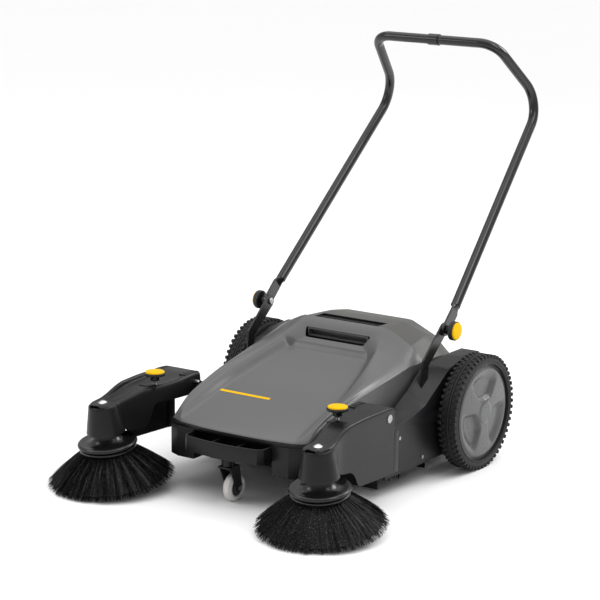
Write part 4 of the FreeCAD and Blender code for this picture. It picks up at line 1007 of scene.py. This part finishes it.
@dataclass
class Arms:
    """The two arm covers with their front domes, spindle washers, knobs and knob studs.

    Stations run along Y from the round front end to the hinge. The outer edge carries a raised lip, and the
    deck inside it lies lower.
    """

    knob: Knob = field(default_factory=Knob)
    stud: tuple[float, float] = (0.0039, 0.0175)
    stud_gap: float = 0.0005
    wall: float = 0.0024
    stations: tuple[float, ...] = (
        -0.712, -0.705, -0.690, -0.670, -0.6507, -0.6265, -0.608, -0.5861, -0.572, -0.560, -0.552, -0.545,
        -0.5237, -0.480, -0.450, -0.4311, -0.410, -0.400, -0.3985,
    )
    outer: Track = Track((
        (-0.712, 0.3265), (-0.705, 0.3335), (-0.690, 0.3395), (-0.670, 0.3410), (-0.6507, 0.3390),
        (-0.6265, 0.3355), (-0.608, 0.335),
    ))
    inner: Track = Track((
        (-0.712, 0.2995), (-0.705, 0.2925), (-0.690, 0.2870), (-0.670, 0.2850), (-0.6507, 0.2840),
        (-0.6265, 0.2765), (-0.5861, 0.2660), (-0.560, 0.2580), (-0.5237, 0.2475), (-0.480, 0.2390),
        (-0.4311, 0.2360),
    ))
    lip: Track = Track((
        (-0.712, 0.2120), (-0.690, 0.2135), (-0.670, 0.2145), (-0.6507, 0.2180), (-0.6265, 0.2300),
        (-0.608, 0.2375), (-0.5861, 0.2430), (-0.5237, 0.2465), (-0.4311, 0.2468), (-0.410, 0.2455),
        (-0.3985, 0.2420),
    ))
    deck: Track = Track((
        (-0.712, 0.2116), (-0.670, 0.2120), (-0.6507, 0.2130), (-0.6265, 0.2185), (-0.5861, 0.2290),
        (-0.560, 0.2315), (-0.5237, 0.2330), (-0.480, 0.2365), (-0.450, 0.2405), (-0.4311, 0.2425),
        (-0.3985, 0.2415),
    ))
    outer_foot: Track = Track((
        (-0.712, 0.2060), (-0.670, 0.2060), (-0.6507, 0.150), (-0.6265, 0.1385), (-0.608, 0.1345),
        (-0.5861, 0.1335), (-0.572, 0.1280), (-0.560, 0.1100), (-0.552, 0.0935), (-0.545, 0.0890),
        (-0.5237, 0.0885), (-0.3985, 0.0833),
    ))
    inner_foot: Track = Track((
        (-0.712, 0.2060), (-0.670, 0.2060), (-0.6507, 0.150), (-0.6265, 0.1385), (-0.5861, 0.1335),
        (-0.572, 0.1450), (-0.560, 0.1860), (-0.552, 0.195), (-0.3985, 0.195),
    ))
    skirt: tuple[float, float, float] = (-0.3735, 0.0833, 0.1850)
    pad: tuple[float, float, float] = (0.046, 0.052, 0.0362)
    notches: tuple[float, ...] = (-0.452, -0.438, -0.424, -0.410)

    def line(self, station: float) -> list[Vector]:
        """Return a section's corners at a station, from the outer foot over the deck to the inner foot."""
        out, lip, deck = self.outer.at(station), self.lip.at(station), self.deck.at(station)
        into, foot, low = self.inner.at(station), self.outer_foot.at(station), self.inner_foot.at(station)
        section = [
            (out, foot), (out, foot * 0.65 + lip * 0.35), (out, foot * 0.12 + lip * 0.88),
            (out, lip - 0.0030), (out - 0.0026, lip), (out - 0.0060, lip - 0.0006),
            (out - 0.0078, lip * 0.35 + deck * 0.65), (out - 0.0110, deck),
            ((out + into) / 2, deck + 0.0006), (into + 0.0125, deck), (into + 0.0095, deck + 0.0013),
            (into + 0.0035, deck + 0.0013), (into + 0.0004, deck - 0.0020),
            (into - 0.0010, deck * 0.8 + low * 0.2), (into - 0.0020, deck * 0.4 + low * 0.6),
            (into - 0.0024, low),
        ]
        return [Vector((across, station, height)) for across, height in section]

    def slab(self, low: Vector, high: Vector, bevel: float = 0.0012) -> Piece:
        """Model a plate between two corners with rounded edges."""
        deselect()
        bpy.ops.mesh.primitive_cube_add(size=1.0, location=(low + high) / 2)
        plate = bpy.context.object
        plate.scale = high - low
        settle(plate)
        modify(plate, "BEVEL", width=bevel, segments=2, limit_method="NONE")
        return plate

    @staticmethod
    def on_spindle(piece: Piece) -> Piece:
        """Stand a turned piece on the right-hand brush's axis."""
        standing(piece, *joint("side_brush_right_spin"))
        smooth(piece, 30)
        return piece

    def dome(self) -> Piece:
        """Turn the round front end, a hollow cone with a rolled top edge."""
        outline = [
            (0.0, 0.1830), (0.0300, 0.1830), (0.0430, 0.1250), (0.0440, 0.1212), (0.0458, 0.1206),
            (0.0474, 0.1216), (0.0475, 0.1240), (0.0462, 0.1300), (0.0372, 0.1810), (0.0368, 0.1826),
            (0.0362, 0.1880), (0.0350, 0.1904), (0.0328, 0.1918), (0.0300, 0.1921), (0.0285, 0.1912),
            (0.0270, 0.1910), (0.0, 0.1910),
        ]
        return self.on_spindle(spun("arm_dome", outline, 96))

    def washer(self) -> Piece:
        """Turn the washer under the spindle's cap nut."""
        outline = [
            (0.0084, 0.1908), (0.0150, 0.1908), (0.0150, 0.1922), (0.0144, 0.1928), (0.0084, 0.1928),
            (0.0084, 0.1908),
        ]
        piece = self.on_spindle(spun("dome_washer_right", outline, 48))
        dress(piece, STEEL)
        return piece

    def cover(self) -> Piece:
        """Build the right-hand cover."""
        sheet = grid("arm_sheet", [self.line(station) for station in self.stations])
        middle = sheet.data.polygons[len(sheet.data.polygons) // 2]
        if middle.normal.z < 0:
            sheet.data.flip_normals()
        modify(sheet, "SUBSURF", levels=2, render_levels=2, boundary_smooth="PRESERVE_CORNERS")
        modify(sheet, "SOLIDIFY", thickness=self.wall, offset=-1.0)
        smooth(sheet, 45)
        end, top = self.stations[-1] - 0.001, self.deck.at(self.stations[-1])
        out = self.outer.at(end)
        rear, foot, crown = self.skirt
        seat = joint("arm_knob_right_turn")[0]
        wide, long, high = self.pad
        plates = [self.slab(Vector((out - 0.0035, end, foot)), Vector((out, rear, crown))),
                  self.slab(Vector((seat.x - 0.014, seat.y - long / 2, 0.200 + high - 0.010)),
                            Vector((seat.x - 0.014 + wide, seat.y + long / 2, 0.200 + high)), 0.0022)]
        for place in self.notches:
            into = self.inner.at(place)
            plates.append(self.slab(Vector((into + 0.004, place, top - 0.002)),
                                    Vector((into + 0.022, place + 0.008, top + 0.0045)), 0.001))
        for plate in plates:
            smooth(plate, 40)
        return united([sheet, self.dome(), *plates], "arm_shell_right")

    def build(self) -> None:
        """Build and register both arms."""
        cover, washer = self.cover(), self.washer()
        dress(cover, FRAME_BLACK)
        for side in (Side.LEFT, Side.RIGHT):
            label = side.label
            own = (cover, washer)
            if side is Side.LEFT:
                own = (mirrored(cover, "arm_shell_left"), mirrored(washer, "dome_washer_left"))
            hand_over(own[0], f"arm_{label}", "frame_black", f"arm_cover_{label}")
            hand_over(own[1], f"arm_{label}", "zinc_steel")
            node = f"arm_knob_{label}"
            seat, axis = joint(f"{node}_turn")
            seat.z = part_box(node)[0].z + self.stud[1] + self.stud_gap
            self.knob.place(seat, axis, node, (node, f"arm_knob_cap_{label}"), self.stud)


# ------------------------------------------------------------------ remaining sub-assemblies


@dataclass
class Chassis:
    """Side frames and front tray, with rounded edges."""

    frame_bevel: float = 0.0035
    tray_bevel: float = 0.0022

    def build(self) -> None:
        """Build and register the chassis pieces."""
        shells = [(f"side_frame_{side.label}", f"side_shell_{side.label}", self.frame_bevel) for side in Side]
        for node, name, bevel in (*shells, ("front_bumper", "front_tray", self.tray_bevel)):
            shell = rounded(node, name, bevel, 3, 24)
            dress(shell, FRAME_BLACK)
            hand_over(shell, "chassis", "frame_black", node)


@dataclass
class Container:
    """The rear waste container, opened over its grip tray."""

    bevel: float = 0.0045
    side_gap: float = 0.004
    cut: tuple[float, float] = (0.060, 0.036)
    cut_shift: float = 0.010

    def build(self) -> None:
        """Build and register the container pieces."""
        tub = rounded("container_tub", "container_shell", self.bevel, 3, 22)
        low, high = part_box("container_grip")
        deselect()
        middle = ((low.x + high.x) / 2, low.y - self.cut_shift, high.z)
        bpy.ops.mesh.primitive_cube_add(size=1.0, location=middle)
        opening = bpy.context.object
        opening.scale = (high.x - low.x - self.side_gap, *self.cut)
        settle(opening)
        modify(tub, "BOOLEAN", object=opening, operation="DIFFERENCE", solver="EXACT")
        bpy.data.objects.remove(opening)
        smooth(tub, 30)
        dress(tub, TUB_GREY)
        hand_over(tub, "container", "container_grey", "container_tub")


@dataclass
class Handle:
    """The folding handle's clamping knobs."""

    knob: Knob = field(default_factory=lambda: Knob(rim=0.0240, cap=0.0215, neck=0.0095, neck_height=0.0130,
                                                    rim_height=0.0150, cap_height=0.0050))
    stud: tuple[float, float] = (0.0048, 0.0010)

    def build(self) -> None:
        """Build and register the knobs."""
        for side in Side:
            node = f"handle_knob_{side.label}"
            seat, axis = joint(f"{node}_turn")
            low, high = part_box(node)
            seat.x = low.x if side is Side.RIGHT else high.x
            self.knob.place(seat, axis, node, (node, f"handle_knob_cap_{side.label}"), self.stud)


# ------------------------------------------------------------------ stage


@dataclass
class Studio:
    """Pale floor, soft lights and the camera."""

    azimuth: float = 34.4287
    elevation: float = 12.8225
    roll: float = 0.5079
    distance: float = 4.7224
    target: Vector = field(default_factory=lambda: Vector((0.3744, -0.849, 0.5916)))
    lens: float = 132.65
    sensor: float = 36.0
    sky_strength: float = 0.62
    sun_power: float = 1.55
    sun_spread: float = 80
    lamps: tuple[tuple[str, tuple[float, float, float], tuple[float, float], float], ...] = (
        ("key", (-2.2, -2.2, 2.2), (1.2, 1.0), 16), ("fill", (2.2, -0.4, 3.0), (1.0, 2.0), 26),
        ("rear", (1.9, 2.4, 2.6), (1.6, 1.6), 75),
    )

    def camera(self) -> None:
        """Place the camera."""
        azimuth, elevation, roll = map(math.radians, (self.azimuth, self.elevation, self.roll))
        right = Vector((math.cos(azimuth), math.sin(azimuth), 0))
        back = Vector((math.sin(azimuth) * math.cos(elevation), -math.cos(azimuth) * math.cos(elevation),
                       math.sin(elevation)))
        up = back.cross(right)
        across = right * math.cos(roll) + up * math.sin(roll)
        above = up * math.cos(roll) - right * math.sin(roll)
        data = bpy.data.cameras.new("camera")
        data.lens, data.sensor_width = self.lens, self.sensor
        data.clip_end = 60
        eye = bpy.data.objects.new("camera", data)
        bpy.context.scene.collection.objects.link(eye)
        turn = Matrix((across, above, back)).transposed().to_4x4()
        eye.matrix_world = Matrix.Translation(self.target + back * self.distance) @ turn
        bpy.context.scene.camera = eye

    def light(self, name: str, place: Vector, size: tuple[float, float], power: float) -> None:
        """Add a soft area light that points at the machine."""
        data = bpy.data.lights.new(name, "AREA")
        data.shape, data.size, data.size_y, data.energy = "RECTANGLE", *size, power
        lamp = bpy.data.objects.new(name, data)
        bpy.context.scene.collection.objects.link(lamp)
        lamp.location = place
        lamp.rotation_euler = (Vector((0, -0.1, 0.3)) - place).to_track_quat("-Z", "Y").to_euler()

    def sun(self, towards: Vector, power: float, spread: float) -> None:
        """Add a wide, soft sun that lights the floor evenly."""
        data = bpy.data.lights.new("sky_light", "SUN")
        data.energy, data.angle = power, math.radians(spread)
        lamp = bpy.data.objects.new("sky_light", data)
        bpy.context.scene.collection.objects.link(lamp)
        lamp.rotation_euler = towards.to_track_quat("Z", "Y").to_euler()

    def build(self) -> None:
        """Build the floor, the lights and the camera."""
        deselect()
        bpy.ops.mesh.primitive_plane_add(size=60)
        floor = bpy.context.object
        floor.name = "floor"
        dress(floor, FLOOR)
        world = bpy.data.worlds.new("world")
        bpy.context.scene.world = world
        world.use_nodes = True
        sky = world.node_tree.nodes["Background"]
        sky.inputs["Color"].default_value = (1, 1, 1, 1)
        sky.inputs["Strength"].default_value = self.sky_strength
        self.sun(Vector((-0.1, 0.10, 1.0)), self.sun_power, self.sun_spread)
        for name, place, size, power in self.lamps:
            self.light(name, Vector(place), size, power)
        bpy.context.scene.view_settings.view_transform = "Standard"
        self.camera()


NODES_BY_FINISH = (
    (HOOD_GREY, ("hood_grip_liner",)),
    (FRAME_BLACK, ("container_grip", "brush_tunnel", "caster_plate", "caster_fork")),
    (GLOSS_BLACK, ("handle_brackets",)),
    (TUBE_BLACK, ("handle_tube", "handle_sleeve")),
    (RUBBER, ("rubber_skirts", "drive_belts", "side_belt")),
    (PULLEY, ("roller_bearings", "roller_core", "spindle_pulley", "drive_pulley", "hinge_pulley", "wheel_rim",
              "wheel_bush", "caster_hub")),
    (STEEL, ("stub_axles", "frame_screws", "handle_bolts", "hinge_bolt", "roller_shaft", "caster_axle")),
    (CHROME, ("spindle",)),
    (TYRE_WHITE, ("caster_tyre",)),
)
NODE_FINISH = {name: finish for finish, names in NODES_BY_FINISH for name in names}


def dress_nodes() -> None:
    """Give every frame node that still shows its finish."""
    for name, node in frame["nodes"].items():
        stem = name.removesuffix("_left").removesuffix("_right")
        finish = NODE_FINISH.get(name) or NODE_FINISH.get(stem)
        if node.hide_render or finish is None:
            continue
        for slot in node.material_slots:
            slot.material = finish.material()
        if not node.material_slots:
            node.data.materials.append(finish.material())


def main() -> None:
    """Build the machine's looks, then its surroundings."""
    logging.basicConfig(level=logging.INFO, format="%(name)s: %(message)s")
    for part in (Hood(), Wheel(), SideBrush(), RollerBrush(), Arms(), Chassis(), Container(), Handle()):
        log.info("building %s", type(part).__name__)
        part.build()
    dress_nodes()
    Studio().build()


if __name__ == "__main__":
    main()
